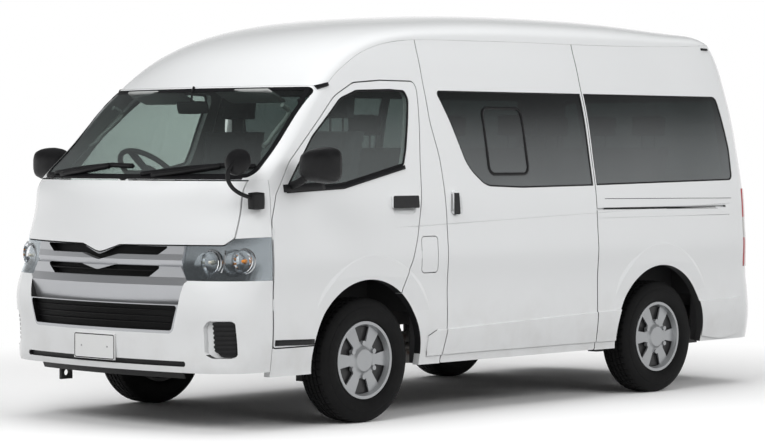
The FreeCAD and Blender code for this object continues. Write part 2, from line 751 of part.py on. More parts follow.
hood = hood.common(block(-far, far, nose - 60, door_line + 5, 0, bonnet_top - door_gap))
thin_corner = block(780, 860, nose + 248, door_line + 60, hood_low, hood_low + 39)
hood = hood.cut([thin_corner, mirrored(thin_corner)])
lamp_left = along(LAMP, nose - 60, door_line - 4)
lamp_both = lamp_left.fuse(mirrored(lamp_left))
grille_prism = along(GRILLE, nose - 60, door_line)
slots = along(UPPER_SLOT, nose - 60, door_line).fuse([
    along(LOWER_SLOT, nose - 60, door_line), along(INTAKE, nose - 60, door_line)])
hood_box = hood_cut.common(block(-far, far, nose - 60, door_line + 5, 0, bonnet_top - seat))
lamps = nose_walls.common(lamp_both).cut(hood_box)
front_rest = nose_walls.cut(hood_box).cut(lamp_both)
bumper = front_rest.cut(grille_prism).common(block(-far, far, nose - 60, door_line, 0, lamp_low + 60))
fenders = front_rest.common(block(-far, far, nose - 60, door_line, lamp_top - 20, bonnet_top))

# Grille frame: bars with two faces each, swept round the curve of the nose. The air in front of
# the bars is taken from a thicker piece of the nose.
BAR_FACES = [
    (-60, 985), (44, 985), (37, 934), (27, 902), (36, 874), (22, 868), (16, 814), (-1, 772), (24, 672), (-60, 672),
]
bar_air = spun_nose(BAR_FACES, 2500, 18)
grille_base = layer(grille_prism, -14, wall).cut(hood_box).cut(lamp_both)
grille = grille_base.common(block(-far, far, nose - 60, door_line, 672, bonnet_top)).cut(bar_air)
grille_low = front_rest.common(grille_prism).common(block(-far, far, nose - 60, door_line, 0, 673))
grille = grille.fuse(grille_low).cut(slots)

# Dark mesh panels behind the openings, with thin blades across the intake.
slot_fill = []
for outline in (UPPER_SLOT, LOWER_SLOT, INTAKE):
    slot_fill.append(along_grown(outline, -seat, nose - 60, door_line))
mesh_panels = layer(slot_fill[0].fuse(slot_fill[1:]), 34, 42)
blades = []
for k, z in enumerate((842, 636, 603, 570)):
    depth = 24 if k == 0 else 14
    blades.append(spun_nose([(depth, z), (depth, z + 5), (40, z + 9), (40, z + 2)], 2600, 14))
blades = blades[0].fuse(blades[1:]).common(slot_fill[1].fuse(slot_fill[2]))
mesh_panels = mesh_panels.fuse(blades)

# Bumper corners: a pocket beside each lamp's foot with a ribbed blank in it, and the low slot.
POCKET = [
    (752, 420, 30), (752, 560, 30), (775, 592, 30), (884, 592, 20), (884, 398, 24), (790, 398, 40),
]
BLANK = [
    (792, 440, 24), (792, 586, 8), (879, 586, 14), (879, 404, 16), (826, 404, 30),
]
LOW_SLOT = [
    (-640, 350, 12), (-640, 378, 12), (640, 378, 12), (640, 350, 12),
]
pocket = along(POCKET, nose - 60, door_line)
pocket = layer(pocket.fuse(mirrored(pocket)), -10, 27)
blank = along(BLANK, nose - 60, door_line)
rib_cuts = []
for k in range(7):
    z = 417 + 24 * k
    rib_cuts.append(block(0, far, nose - 60, door_line, z, z + 10).common(blank))
rib_face = layer(rib_cuts[0].fuse(rib_cuts[1:]), -10, 13)
blank = layer(blank, 8, 27 - seat).cut(rib_face)
blank = blank.fuse(mirrored(blank))
low_slot = layer(along(LOW_SLOT, nose - 60, door_line), -10, 24)
low_panel = layer(along_grown(LOW_SLOT, -seat, nose - 60, door_line), 17, 24 - seat)
bumper = bumper.cut([pocket, low_slot])
bumper = bumper.cut(block(-far, far, nose - 60, door_line, 0, sill + 28))
valance = layer(block(-575, 575, nose - 60, nose + 400, sill - 8, sill + 60), wall + seat, wall + 10)

# Lamps: a housing with round bowls in it under a thin clear cover.
lamp_rim = size("lamp_cover") + seat
housings = lamps.common(layer(lamp_both, lamp_rim, wall)).cut(hood_box)
for x, z, r, depth in ((735, 893, 100, 38), (877, 900, 84, 34)):
    bowl = Part.makeSphere(r, V(x, front_of(x, z, 0) - r + depth, z))
    bowl = bowl.common(block(-far, far, nose - 60, nose + 700, 0, 2600))
    housings = housings.cut([bowl, mirrored(bowl)])
covers = lamps.common(layer(lamp_both, 0, size("lamp_cover")))
node("hood", hood)
node("headlamps", housings)
node("lamp_covers", covers)
node("grille", grille)
node("grille_panels", Part.makeCompound(mesh_panels.Solids))
node("front_bumper", bumper)
node("bumper_blanks", Part.makeCompound(blank.Solids + low_panel.Solids + valance.Solids))
node("fenders", fenders)

# Blank number plates: one on the bumper, one on the tailgate.
plate_x = size("plate_width") / 2
plate_z = 364
front_plate = block(-plate_x, plate_x, nose - 3.6, nose + 5, plate_z, plate_z + size("plate_height"))
front_plate = front_plate.cut(form(-seat))

# Corner mirror on its bent stalk.
stalk = fused([
    rod(34, V(880, nose + 350, 1200), V(925, nose + 340, 1212)),
    rod(15, V(915, nose + 342, 1208), V(935, nose + 250, 1270)), Part.makeSphere(15, V(935, nose + 250, 1270)),
    rod(15, V(935, nose + 250, 1270), V(905, nose + 215, 1365)),
]).cut(outer)
head = Part.makeSphere(1)
head_matrix = FreeCAD.Matrix()
head_matrix.scale(88, 55, 76)
head = head.transformGeometry(head_matrix)
head.translate(V(890, nose + 205, 1420))
node("corner_mirror", fused([stalk, head]))

# Tail: tailgate with its glass, bumper and lamps.
tailgate = tailgate_prism.common(walls)
tail_hole = along(TAIL_GLASS, back_zone, tail + 60)
PLATE_BAY = [(-270, 742, 30), (-300, 930, 30), (300, 930, 30), (270, 742, 30)]
plate_bay = along(PLATE_BAY, back_zone, tail + 60)
bay_floor = tail_of(836) - 26
plate_bay = plate_bay.common(block(-far, far, bay_floor, tail + 60, 0, 2600))
tailgate_panel = tailgate.cut(tail_hole).cut(plate_bay)
rear_plate = block(-plate_x, plate_x, bay_floor + seat, bay_floor + seat + 8, 762, 762 + size("plate_height"))
node("tailgate", tailgate_panel)
node("front_plate", front_plate)
node("rear_plate", rear_plate)
node("tailgate_glass", pane(tail_hole))
node("rear_bumper", walls.common(bumper_zone))
lamp_right = mirrored(quarter_lamp)
node("tail_lamps", Part.makeCompound(quarter_lamp.Solids + lamp_right.Solids))

# Roof with the leaves that the tailgate hinges on.
tail_axis_z = header + 307.5
tail_axis_y = tail_of(header + 304) - 2
tail_leaf = gap / 2 - 0.3
leaves = []
for x in (-110, 50):
    leaves.append(rod(tail_leaf, V(x, tail_axis_y, tail_axis_z), V(x + 60, tail_axis_y, tail_axis_z)))
    leaves.append(block(x, x + 60, tail_axis_y - 30, tail_axis_y, tail_axis_z - tail_leaf, tail_axis_z + 8))
node("roof_panel", fused([roof] + leaves))


# Pieces below and inside are built from primitives bound to the sheet. A word in a size that
# names a cell stands for that cell.
ALIASES = [alias for alias, value in CELLS]


def bound(text):
    words = []
    word = ""
    for ch in str(text) + " ":
        if ch.isalnum() or ch == "_":
            word += ch
            continue
        words.append("Size." + word if word in ALIASES else word)
        words.append(ch)
        word = ""
    return "".join(words).strip()


def place(item, x, y, z):
    for axis, text in zip("xyz", (x, y, z)):
        item.setExpression("Placement.Base." + axis, bound(text))


def box(x0, x1, y0, y1, z0, z1):
    item = doc.addObject("Part::Box", "Block")
    item.setExpression("Length", bound("(%s) - (%s)" % (x1, x0)))
    item.setExpression("Width", bound("(%s) - (%s)" % (y1, y0)))
    item.setExpression("Height", bound("(%s) - (%s)" % (z1, z0)))
    place(item, x0, y0, z0)
    return item


TURN = {"x": (0, 1, 0, 90), "y": (1, 0, 0, -90), "z": (0, 0, 1, 0)}


def bar(axis, radius, length, x, y, z):
    item = doc.addObject("Part::Cylinder", "Bar")
    a, b, c, angle = TURN[axis]
    item.Placement = FreeCAD.Placement(V(), FreeCAD.Rotation(V(a, b, c), angle))
    item.setExpression("Radius", bound(radius))
    item.setExpression("Height", bound(length))
    place(item, x, y, z)
    return item


def joined(items, label="Group"):
    item = doc.addObject("Part::MultiFuse", label)
    item.Shapes = items
    item.Refine = True
    return item


def less(base, tool, label="Less"):
    item = doc.addObject("Part::Cut", label)
    item.Base = base
    item.Tool = tool
    return item


def named(item, label):
    item.Label = label
    nodes.append(item)
    return item


def both_sides(x0, x1, y0, y1, z0, z1):
    return [box(x0, x1, y0, y1, z0, z1), box("-(%s)" % x1, "-(%s)" % x0, y0, y1, z0, z1)]


cabin_form = doc.addObject("Part::Feature", "CabinForm")
cabin_form.Shape = cabin
cabin_form.Placement = FreeCAD.Placement()
FA = "-wheelbase/2"
RA = "wheelbase/2"
EDGE = "body_width/2"

# Floor: cab floor, bulkhead, the platform over the engine with its wheel houses, the load floor
# with the rear wheel houses, and the sills under the doors.
floor_parts = [
    box("-" + EDGE, EDGE, FA + "-750", FA + "-415", "cab_floor_height-25", "cab_floor_height"),
    box("-" + EDGE, EDGE, FA + "-750", FA + "-735", "cab_floor_height-25", "belt_height+10"),
    box("-" + EDGE, EDGE, FA + "-435", FA + "-415", "cab_floor_height-25", "platform_height"),
    box("-" + EDGE, EDGE, FA + "-435", FA + "+450", "platform_height-20", "platform_height"),
    box("-" + EDGE, EDGE, FA + "+430", FA + "+450", "floor_height-floor_thick", "platform_height"),
    box("-" + EDGE, EDGE, FA + "+430", RA + "+front_overhang-110", "floor_height-floor_thick", "floor_height"),
]
floor_parts += both_sides("wheel_house", "wheel_house+15", FA + "-435", FA + "+450", "rail_height+0.3", "platform_height")
floor_parts += both_sides("830", EDGE, FA + "+440", RA + "-440", "sill_height+6", "floor_height")
floor_parts += both_sides("830", EDGE, RA + "+440", RA + "+700", "sill_height+6", "floor_height")
floor_all = joined(floor_parts, "FloorPlates")
house_cut = joined(both_sides("rear_house", "body_width", RA + "-430", RA + "+430", "0", "floor_height+200"), "HouseSpace")
house_parts = both_sides("rear_house-15", EDGE, RA + "-445", RA + "+445", "floor_height-floor_thick", "floor_height+215")
house_box = joined(house_parts, "HouseBoxes")
floor_and_house = joined([floor_all, house_box], "FloorAndHouses")
floor_open = less(floor_and_house, house_cut, "FloorOpen")
floor_fit = doc.addObject("Part::Common", "FloorPan")
floor_fit.Base = floor_open
floor_fit.Tool = cabin_form
named(floor_fit, "floor_pan")

# Chassis rails with cross members, front tow eye and rear tow eye.
RX0 = "rail_spacing/2-rail_width/2"
RX1 = "rail_spacing/2+rail_width/2"
low_rail = "cab_floor_height-25-rail_depth"
rails = both_sides(RX0, RX1, FA + "-414", RA + "+front_overhang-125", "rail_height", "rail_height+rail_depth-10")
rails += both_sides(RX0, RX1, FA + "-1000", FA + "-350", low_rail, "cab_floor_height-25.3")
rails += both_sides(RX0, RX1, FA + "-414", FA + "-350", low_rail, "rail_height+rail_depth-10")
for y, z in ((FA + "-960", low_rail), (FA + "-430", low_rail)):
    rails.append(box("-(" + RX0 + ")", RX0, y, y + "+60", z + "+15", z + "+95"))
for y in (FA + "+820", RA + "-700", RA + "+560", RA + "+900"):
    rails.append(box("-(" + RX0 + ")", RX0, y, y + "+60", "rail_height+20", "rail_height+rail_depth-10"))
for y in (RA + "-spring_length/2-30", RA + "+spring_length/2-30"):
    rails += both_sides("rail_spacing/2-8", "rail_spacing/2+8", y, y + "+60", "rail_height-60", "rail_height")
eye_out = "tow_eye_thick/2"
eyes = []
EYES = (
    ("-rail_spacing/2", FA + "-960", low_rail, "tow_eye_height-10"),
    ("rail_spacing/2", RA + "+960", "rail_height", "tow_eye_height"),
)
for x, y, z, low in EYES:
    rails.append(box(x + "-" + eye_out, x + "+" + eye_out, y + "-40", y + "+40", low + "-35", z + "+5"))
    eyes.append(bar("x", "tow_eye_bore/2", "tow_eye_thick+20", x + "-" + eye_out + "-10", y, low))
named(less(joined(rails, "Rails"), joined(eyes, "EyeBores"), "ChassisRails"), "chassis_rails")

# Engine and gearbox as one plain block between the rails.
named(joined([
    box("-engine_width/2", "engine_width/2", FA + "-300", FA + "-300+engine_length", "300.3", "300.3+engine_depth"),
    box("-130", "130", FA + "-300+engine_length", FA + "+780", "330", "560"),
], "EngineBlock"), "engine")

# Front suspension: cross member on posts, lower and upper arms, steering rack with tie rods.
PIN = "track/2-kingpin_offset"
arms = [box("-(" + RX1 + ")", RX1, FA + "-60", FA + "+60", "240", "300")]
arms += both_sides("rail_spacing/2-20", "rail_spacing/2+20", FA + "-40", FA + "+40", "290", "rail_height")
arms += both_sides("rail_spacing/2-40", PIN, FA + "-30", FA + "+30", "200", "225")
arms += both_sides("rail_spacing/2-40", RX1, FA + "-30", FA + "+30", "200", "245")
arms += both_sides("rail_spacing/2-20", PIN, FA + "-25", FA + "+25", "440", "462")
for sign in ("", "-"):
    arms.append(bar("z", "30", "25", sign + "(" + PIN + ")", FA, "200"))
    arms.append(bar("z", "28", "22", sign + "(" + PIN + ")", FA, "440"))
arms.append(bar("x", "22", "620", "-310", FA + "+150", "266"))
arms.append(bar("x", "11", "1180", "-590", FA + "+150", "266"))
arms += both_sides("200", "240", FA + "+55", FA + "+150", "250", "282")
pin_holes = []
for sign in ("", "-"):
    pin_holes.append(bar("z", "kingpin_radius+running_gap", "400", sign + "(" + PIN + ")", FA, "150"))
named(less(joined(arms, "Arms"), joined(pin_holes, "PinHoles"), "FrontSuspension"), "front_suspension")


def knuckle(sign, label):
    def at(low, high):
        return (low, high) if sign == "" else ("-(%s)" % high, "-(%s)" % low)
    px = sign + "(" + PIN + ")"
    lo, hi = at(PIN + "-20", PIN + "+20")
    web = box(lo, hi, FA + "-34", FA + "+34", "231", "434")
    pin = bar("z", "kingpin_radius", "262", px, FA, "200.5")
    start = at(PIN + "+10", "track/2+30")[0]
    spindle = bar("x", "spindle_radius", "track/2+20-(" + PIN + ")", start, FA, "axle_height")
    shield_start = at(PIN + "+36", PIN + "+44")[0]
    shield = bar("x", "135", "8", shield_start, FA, "axle_height")
    lo, hi = at(PIN + "-48", PIN + "-14")
    arm = box(lo, hi, FA + "+20", FA + "+165", "231", "247")
    named(joined([web, pin, spindle, shield, arm], "Knuckle"), label)


knuckle("", "knuckle_left")
knuckle("-", "knuckle_right")

# Rear axle with its housing, brake drums and drive shaft, on leaf springs.
tube = [bar("x", "axle_tube_radius", "track-180", "-(track-180)/2", RA, "axle_height")]
tube.append(bar("x", "spindle_radius", "track+60", "-(track+60)/2", RA, "axle_height"))
tube.append(bar("x", "140", "250", "-125", RA, "axle_height"))
for start in ("track/2-90", "-track/2+42"):
    tube.append(bar("x", "135", "48", start, RA, "axle_height"))
tube.append(bar("y", "55", "190", "0", RA + "-300", "axle_height"))
tube.append(bar("y", "35", "wheelbase-1075.3", "0", FA + "+780.3", "axle_height"))
tube += both_sides("rail_spacing/2-35", "rail_spacing/2+35", RA + "-60", RA + "+60", "axle_height-62", "axle_height")
named(joined(tube, "RearAxle"), "rear_axle")

spring_top = axle_z - 62 - size("seat_gap")
spring_half = size("spring_length") / 2
eye_z = size("rail_height") - 60 - 18
spring_pts = [V(0, ra - spring_half, eye_z), V(0, ra, spring_top - 12), V(0, ra + spring_half, eye_z)]
thick = 24
under_pts = [p - V(0, 0, thick) for p in spring_pts]
spring_edges = [
    Part.Arc(*spring_pts).toShape(), Part.LineSegment(spring_pts[2], under_pts[2]).toShape(),
    Part.Arc(under_pts[2], under_pts[1], under_pts[0]).toShape(), Part.LineSegment(under_pts[0], spring_pts[0]).toShape(),
]
spring_face = Part.Face(Part.Wire(spring_edges))
spring_low = size("rail_spacing") / 2 - size("spring_width") / 2
spring_face.translate(V(spring_low, 0, 0))
spring = spring_face.extrude(V(size("spring_width"), 0, 0))
clamp = block(spring_low, spring_low + size("spring_width"), ra - 60, ra + 60, spring_top - 50, spring_top)
eyes = []
for y in (ra - spring_half, ra + spring_half):
    eyes.append(rod(18, V(spring_low, y, eye_z), V(spring_low + size("spring_width"), y, eye_z)))
spring = fused([spring, clamp] + eyes)
node("leaf_springs", Part.makeCompound([spring, mirrored(spring)]))

# Exhaust, fuel tank and spare wheel under the floor.
route = [
    V(340, fa + 330, 335), V(340, ra - 330, 335), V(340, ra - 170, 460),
    V(340, ra + 170, 460), V(372, ra + 320, 335), V(372, tail - 120, 335),
]
pipes = [piped(route, 26, 70)]
muffler = rod(95, V(340, -350, 335), V(340, 350, 335))
hanger = block(325, 345, -20, 20, 400, size("floor_height") - size("floor_thick") - seat)
flange = block(280.3, 350, fa + 280, fa + 340, 310, 360)
node("exhaust", fused(pipes + [muffler, hanger, flange]))
tank = block(-815, -500, -420, 420, 330, size("floor_height") - size("floor_thick") - seat)
tank = tank.makeFillet(45, [e for e in tank.Edges if abs(e.BoundBox.YLength) > 100 and e.BoundBox.ZMax < 400])
node("fuel_tank", tank)
spare_y = tail - 470
spare_r = size("spare_radius")
profile = rounded([(70, 340, 0), (160, 340, 0), (175, 325, 0), (spare_r - 60, 312, 20), (spare_r, 340, 40),
                   (spare_r, 460, 40), (spare_r - 60, 488, 20), (175, 475, 0), (160, 360, 0), (70, 360, 0)])
profile.rotate(V(0, 0, 0), V(1, 0, 0), 90)
spare = profile.revolve(V(0, 0, 0), V(0, 0, 1), 360)
spare.translate(V(0, spare_y, 0))
winch = rod(20, V(0, spare_y, 336), V(0, spare_y, size("floor_height") - size("floor_thick") - seat))
winch_plate = rod(90, V(0, spare_y, 332), V(0, spare_y, 340))
node("spare_wheel", fused([spare, winch, winch_plate]))

# Wheels: a rim with its bead seats and a six spoke cover, and the tyre on it.
rim_r = size("rim_radius")
rim_w = size("rim_width")
hub_r = size("hub_radius")
tyre_w = size("tyre_width")
tyre_r = axle_z


def spun(points):
    # Solid of revolution about X from an outline in (x, r).
    face = rounded(points)
    return face.revolve(V(0, 0, 0), V(1, 0, 0), 360)


tyre_shape = spun([
    (-tyre_w * 0.37, tyre_r, 26), (tyre_w * 0.37, tyre_r, 26), (tyre_w / 2, tyre_r - 62, 60),
    (rim_w / 2 - 10, rim_r + 8.3, 0), (rim_w / 2 - 10, rim_r, 0), (rim_w / 2 - 24, rim_r, 0),
    (tyre_w * 0.36, tyre_r - 26, 30), (-tyre_w * 0.36, tyre_r - 26, 30), (-rim_w / 2 + 24, rim_r, 0),
    (-rim_w / 2 + 10, rim_r, 0), (-rim_w / 2 + 10, rim_r + 8.3, 0),
    (-tyre_w / 2, tyre_r - 62, 60),
])
bore_r = size("spindle_radius") + size("running_gap")
rim_shape = spun([
    (-rim_w / 2, rim_r + 8, 0), (-rim_w / 2 + 10, rim_r + 8, 0), (-rim_w / 2 + 10, rim_r, 0), (-rim_w / 2 + 30, rim_r, 0),
    (-30, rim_r - 14, 8), (30, rim_r - 14, 8), (rim_w / 2 - 30, rim_r, 0), (rim_w / 2 - 10, rim_r, 0),
    (rim_w / 2 - 10, rim_r + 8, 0), (rim_w / 2, rim_r + 8, 0), (rim_w / 2, rim_r - 8, 0), (36, rim_r - 26, 0),
    (36, bore_r, 0), (18, bore_r, 0), (18, rim_r - 26, 0), (-rim_w / 2, rim_r - 8, 0),
])
hub = spun([(-36, bore_r, 0), (-36, hub_r, 6), (20, hub_r, 0), (20, bore_r, 0)])
cover = spun([
    (36, 0.01, 0), (36, rim_r - 6, 0), (52, rim_r + 2, 0), (62, rim_r - 10, 6), (70, 70, 20), (84, 60, 8), (84, 0.01, 0),
])
spoke_gap = [(-58, 186, 10), (58, 186, 10), (24, 96, 10), (-24, 96, 10)]
windows = []
for k in range(6):
    cutter = rounded(spoke_gap)
    cutter.Placement = FreeCAD.Placement(V(46, 0, 0), FreeCAD.Rotation(V(0, 1, 0), V(0, 0, 1), V(1, 0, 0)))
    cutter = cutter.extrude(V(60, 0, 0))
    cutter.rotate(V(0, 0, 0), V(1, 0, 0), 60 * k)
    windows.append(cutter)
bosses = []
for k in range(6):
    boss_stub = rod(13, V(40, 0, 92), V(80, 0, 92))
    boss_stub.rotate(V(0, 0, 0), V(1, 0, 0), 60 * k)
    bosses.append(boss_stub)
cover = fused([cover.cut(windows)] + bosses)
spindle_room = rod(size("spindle_radius") + 6, V(0, 0, 0), V(60, 0, 0))
wheel_shape = fused([rim_shape, hub, cover]).cut(spindle_room.common(block(18, 40, -60, 60, -60, 60)))
for side, sign in (("left", 1), ("right", -1)):
    for end, y in (("front", front_axle), ("rear", rear_axle)):
        for kind, shape in (("tyre", tyre_shape), ("wheel", wheel_shape)):
            copy = shape if sign > 0 else mirrored(shape)
            place_at = FreeCAD.Placement(V(sign * wheel_x, y, axle_z), FreeCAD.Rotation())
            node("%s_%s_%s" % (kind, end, side), copy, place_at)

# Seats: side profiles in (y, z) with rounded corners, extruded across.
SEAT = [
    (0, 0, 30), (0, 150, 60), (430, 130, 30), (560, 690, 45), (660, 680, 45), (560, 60, 60), (500, 0, 30),
]
HEADREST = [
    (585, 715, 25), (590, 860, 35), (680, 850, 35), (675, 705, 25),
]


def seat_at(x, y, z, width):
    base = across([(a + y, b + z, r) for a, b, r in SEAT], x - width / 2, x + width / 2)
    rest = across([(a + y, b + z, r) for a, b, r in HEADREST], x - 140, x + 140)
    posts = []
    for dx in (-60, 60):
        posts.append(rod(8, V(x + dx, y + 622, z + 640), V(x + dx, y + 640, z + 760)))
    plinth = block(x - width / 2 + 60, x + width / 2 - 60, y + 60, y + 440, z - 60, z + 20)
    return fused([base, rest, plinth] + posts)


cab_seats = []
for x in (-400, 400):
    cab_seats.append(seat_at(x, fa - 330, size("platform_height") + 60.3, size("seat_width")))
node("front_seats", Part.makeCompound(cab_seats))


def bench(x, y, z, width, places):
    base = across([(a + y, b + z, r) for a, b, r in SEAT], x - width / 2, x + width / 2)
    parts = [base]
    pitch = width / places
    for k in range(places):
        cx = x - width / 2 + pitch * (k + 0.5)
        parts.append(across([(a + y, b + z, r) for a, b, r in HEADREST], cx - 125, cx + 125))
        for dx in (-50, 50):
            parts.append(rod(8, V(cx + dx, y + 622, z + 640), V(cx + dx, y + 640, z + 760)))
        parts.append(block(cx - 30, cx + 30, y + 80, y + 420, z - 250, z + 20))
    return fused(parts)


floor_z = size("floor_height") + 250.3
benches = [
    bench(-170, fa + 760, floor_z, 1080, 2), bench(-170, fa + 1540, floor_z, 1080, 2),
    bench(0, ra - 70, floor_z, 1200, 3),
]
node("rear_seats", Part.makeCompound(benches))

# Dashboard with its instrument hood and steering column, and the steering wheel.
DASH = [
    (fa - 734.7, 960, 0), (fa - 734.7, belt + 30, 0), (fa - 560, belt + 38, 60), (fa - 440, belt - 40, 50),
    (fa - 420, 1060, 40), (fa - 560, 960, 60),
]
dash = across(DASH, -half_width, half_width).common(form(wall + 8))
dash = dash.common(block(-half_width + 155, half_width - 155, nose, 0, 0, 2600))
wheel_centre = V(-380, fa - 400, 1345)
tilt = FreeCAD.Rotation(V(1, 0, 0), -42)
column_dir = tilt.multVec(V(0, 0, -1))
column = rod(28, wheel_centre + column_dir * 22, wheel_centre + column_dir * 330)
shroud = block(-450, -310, fa - 600, fa - 440, 1120, 1230)
node("dashboard", fused([dash, column, shroud]))
ring = Part.makeTorus(size("steering_radius"), size("steering_rim"))
boss = Part.makeCylinder(55, 40, V(0, 0, -22))
arms3 = [block(-size("steering_radius"), size("steering_radius"), -22, 22, -14, 6), block(-22, 22, -size("steering_radius"), 0, -14, 6)]
steering = fused([ring, boss] + arms3)
node("steering_wheel", steering, FreeCAD.Placement(wheel_centre, tilt))

doc.recompute()
bad = [item.Label for item in doc.Objects if "Invalid" in item.State or "Error" in item.State]
for item in nodes:
    if item.Shape.isNull() or not item.Shape.isValid():
        bad.append(item.Label)
if bad:
    raise RuntimeError("failed pieces: " + ", ".join(bad))
for item in nodes:
    item.Shape.exportStep("parts/" + item.Label + ".step")
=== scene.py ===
import math

import bmesh
import bpy
from mathutils import Matrix, Vector
from mathutils.bvhtree import BVHTree


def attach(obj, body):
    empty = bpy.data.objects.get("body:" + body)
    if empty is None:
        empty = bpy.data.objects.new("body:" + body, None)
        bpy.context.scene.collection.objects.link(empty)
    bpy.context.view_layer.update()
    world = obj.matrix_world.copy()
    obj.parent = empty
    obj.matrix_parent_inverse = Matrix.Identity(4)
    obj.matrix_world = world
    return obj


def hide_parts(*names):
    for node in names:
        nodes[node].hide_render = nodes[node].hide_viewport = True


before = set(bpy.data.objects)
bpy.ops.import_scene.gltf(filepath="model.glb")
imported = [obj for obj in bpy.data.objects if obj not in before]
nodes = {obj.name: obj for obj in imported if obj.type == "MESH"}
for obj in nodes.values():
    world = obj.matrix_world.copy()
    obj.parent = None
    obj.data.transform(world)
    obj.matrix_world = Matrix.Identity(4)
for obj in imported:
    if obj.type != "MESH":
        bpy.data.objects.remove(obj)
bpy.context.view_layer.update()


# ---- Camera ----
# A long lens at bumper height, off the vehicle's front left corner, as the photograph was taken.
picture_camera = bpy.data.cameras.new("picture_camera")
picture_camera.lens = 127.3
picture_camera.sensor_width = 36.0
picture_camera.clip_end = 200.0
camera = bpy.data.objects.new("camera", picture_camera)
bpy.context.scene.collection.objects.link(camera)
camera_place = Vector((11.077, -11.809, 1.477))
camera_target = Vector((0.0, -0.189, 1.045))
camera.location = camera_place
aim = (camera_target - camera_place).to_track_quat("-Z", "Y").to_matrix().to_4x4()
camera.rotation_euler = (aim @ Matrix.Rotation(math.radians(-0.032), 4, "Z")).to_euler()
bpy.context.scene.camera = camera
bpy.context.scene.view_settings.view_transform = "Standard"


# ---- Studio ----
# A plain pale floor under soft light from boxes above, in front and at the side. The floor shows
# white and keeps the shadow. A finish is mixed from flows; arithmetic on a flow adds Math nodes.
class Flow:
    def __init__(self, finish, socket):
        self.finish = finish
        self.socket = socket

    def maths(self, operation, *values):
        return self.finish.add("ShaderNodeMath", {"operation": operation}, dict(enumerate(values)))

    def __add__(self, other):
        return self.maths("ADD", self, other)

    def __sub__(self, other):
        return self.maths("SUBTRACT", self, other)

    def __rsub__(self, other):
        return self.maths("SUBTRACT", other, self)

    def __mul__(self, other):
        return self.maths("MULTIPLY", self, other)

    def __abs__(self):
        return self.maths("ABSOLUTE", self)

    def __gt__(self, other):
        return self.maths("GREATER_THAN", self, other)

    def __lt__(self, other):
        return self.maths("LESS_THAN", self, other)

    __radd__ = __add__
    __rmul__ = __mul__

    def top(self, other):
        return self.maths("MAXIMUM", self, other)

    def low(self, other):
        return self.maths("MINIMUM", self, other)

    def wave(self):
        return self.maths("SINE", self)

    def ease(self, start, stop):
        shape = {"interpolation_type": "SMOOTHSTEP"}
        return self.finish.add("ShaderNodeMapRange", shape, {0: self, 1: start, 2: stop})


class Finish:
    def __init__(self, name, **settings):
        self.material = bpy.data.materials.new(name)
        self.material.use_nodes = True
        self.tree = self.material.node_tree
        self.shader = self.tree.nodes["Principled BSDF"]
        self.place = self.add("ShaderNodeTexCoord", {}, {}, "Object")
        for key, value in settings.items():
            self.set(key.replace("_", " ").title().replace("Ior", "IOR"), value)

    def add(self, kind, settings, values, output=0):
        node = self.tree.nodes.new(kind)
        for key, value in settings.items():
            setattr(node, key, value)
        for key, value in values.items():
            self.join(node.inputs[key], value)
        return Flow(self, node.outputs[output])

    def join(self, socket, value):
        if isinstance(value, Flow):
            self.tree.links.new(value.socket, socket)
        elif isinstance(value, tuple) and socket.type == "RGBA":
            socket.default_value = (*value, 1.0)
        else:
            socket.default_value = value

    def set(self, name, value):
        self.join(self.shader.inputs[name], value)

    def noise(self, scale, detail=2.0, place=None):
        values = {"Vector": place or self.place, "Scale": scale, "Detail": detail}
        return self.add("ShaderNodeTexNoise", {}, values, "Fac")

    def cells(self, scale, place=None):
        values = {"Vector": place or self.place, "Scale": scale}
        return self.add("ShaderNodeTexVoronoi", {}, values, "Distance")

    def part(self, axis):
        return self.add("ShaderNodeSeparateXYZ", {}, {0: self.place}, axis)

    def between(self, axis, low, high):
        return (self.part(axis) > low) * (self.part(axis) < high)

    def blend(self, share, first, second):
        values = {"Factor": share, 6: first, 7: second}
        return self.add("ShaderNodeMix", {"data_type": "RGBA"}, values, 2)

    def tone(self, share, first, second):
        self.set("Base Color", self.blend(share, first, second))

    def relief(self, height, depth, strength=1.0):
        values = {"Height": height, "Distance": depth, "Strength": strength}
        self.set("Normal", self.add("ShaderNodeBump", {}, values))

    def inward(self, centre):
        # One on faces that look towards a point inside the object, nought on its outside.
        outward = self.add("ShaderNodeVectorMath", {"operation": "SUBTRACT"}, {0: self.place, 1: centre})
        facing = self.add("ShaderNodeTexCoord", {}, {}, "Normal")
        dot = {"operation": "DOT_PRODUCT"}
        return self.add("ShaderNodeVectorMath", dot, {0: facing, 1: outward}, "Value") < 0.0


def wear(finish, *names):
    # Nodes of the solid model take a finish.
    for name in names:
        slots = nodes[name].data.materials
        slots.clear()
        slots.append(finish.material)


def lamp(name, place, target, width, depth, power):
    light = bpy.data.lights.new(name, "AREA")
    light.shape = "RECTANGLE"
    light.size = width
    light.size_y = depth
    light.energy = power
    light_object = bpy.data.objects.new(name, light)
    bpy.context.scene.collection.objects.link(light_object)
    light_object.location = place
    direction = Vector(target) - Vector(place)
    light_object.rotation_euler = direction.to_track_quat("-Z", "Y").to_euler()
    light_object.visible_camera = False
    light_object.visible_glossy = False


lamp("overhead_box", (-0.5, 0.5, 7.0), (0, 0, 1), 9.0, 9.0, 340)
lamp("front_box", (1.5, -9.0, 6.5), (0, -1.8, 1.2), 8.0, 4.0, 500)
lamp("side_box", (9.5, 0.5, 5.5), (0.9, 0.3, 1.0), 10.0, 3.0, 430)

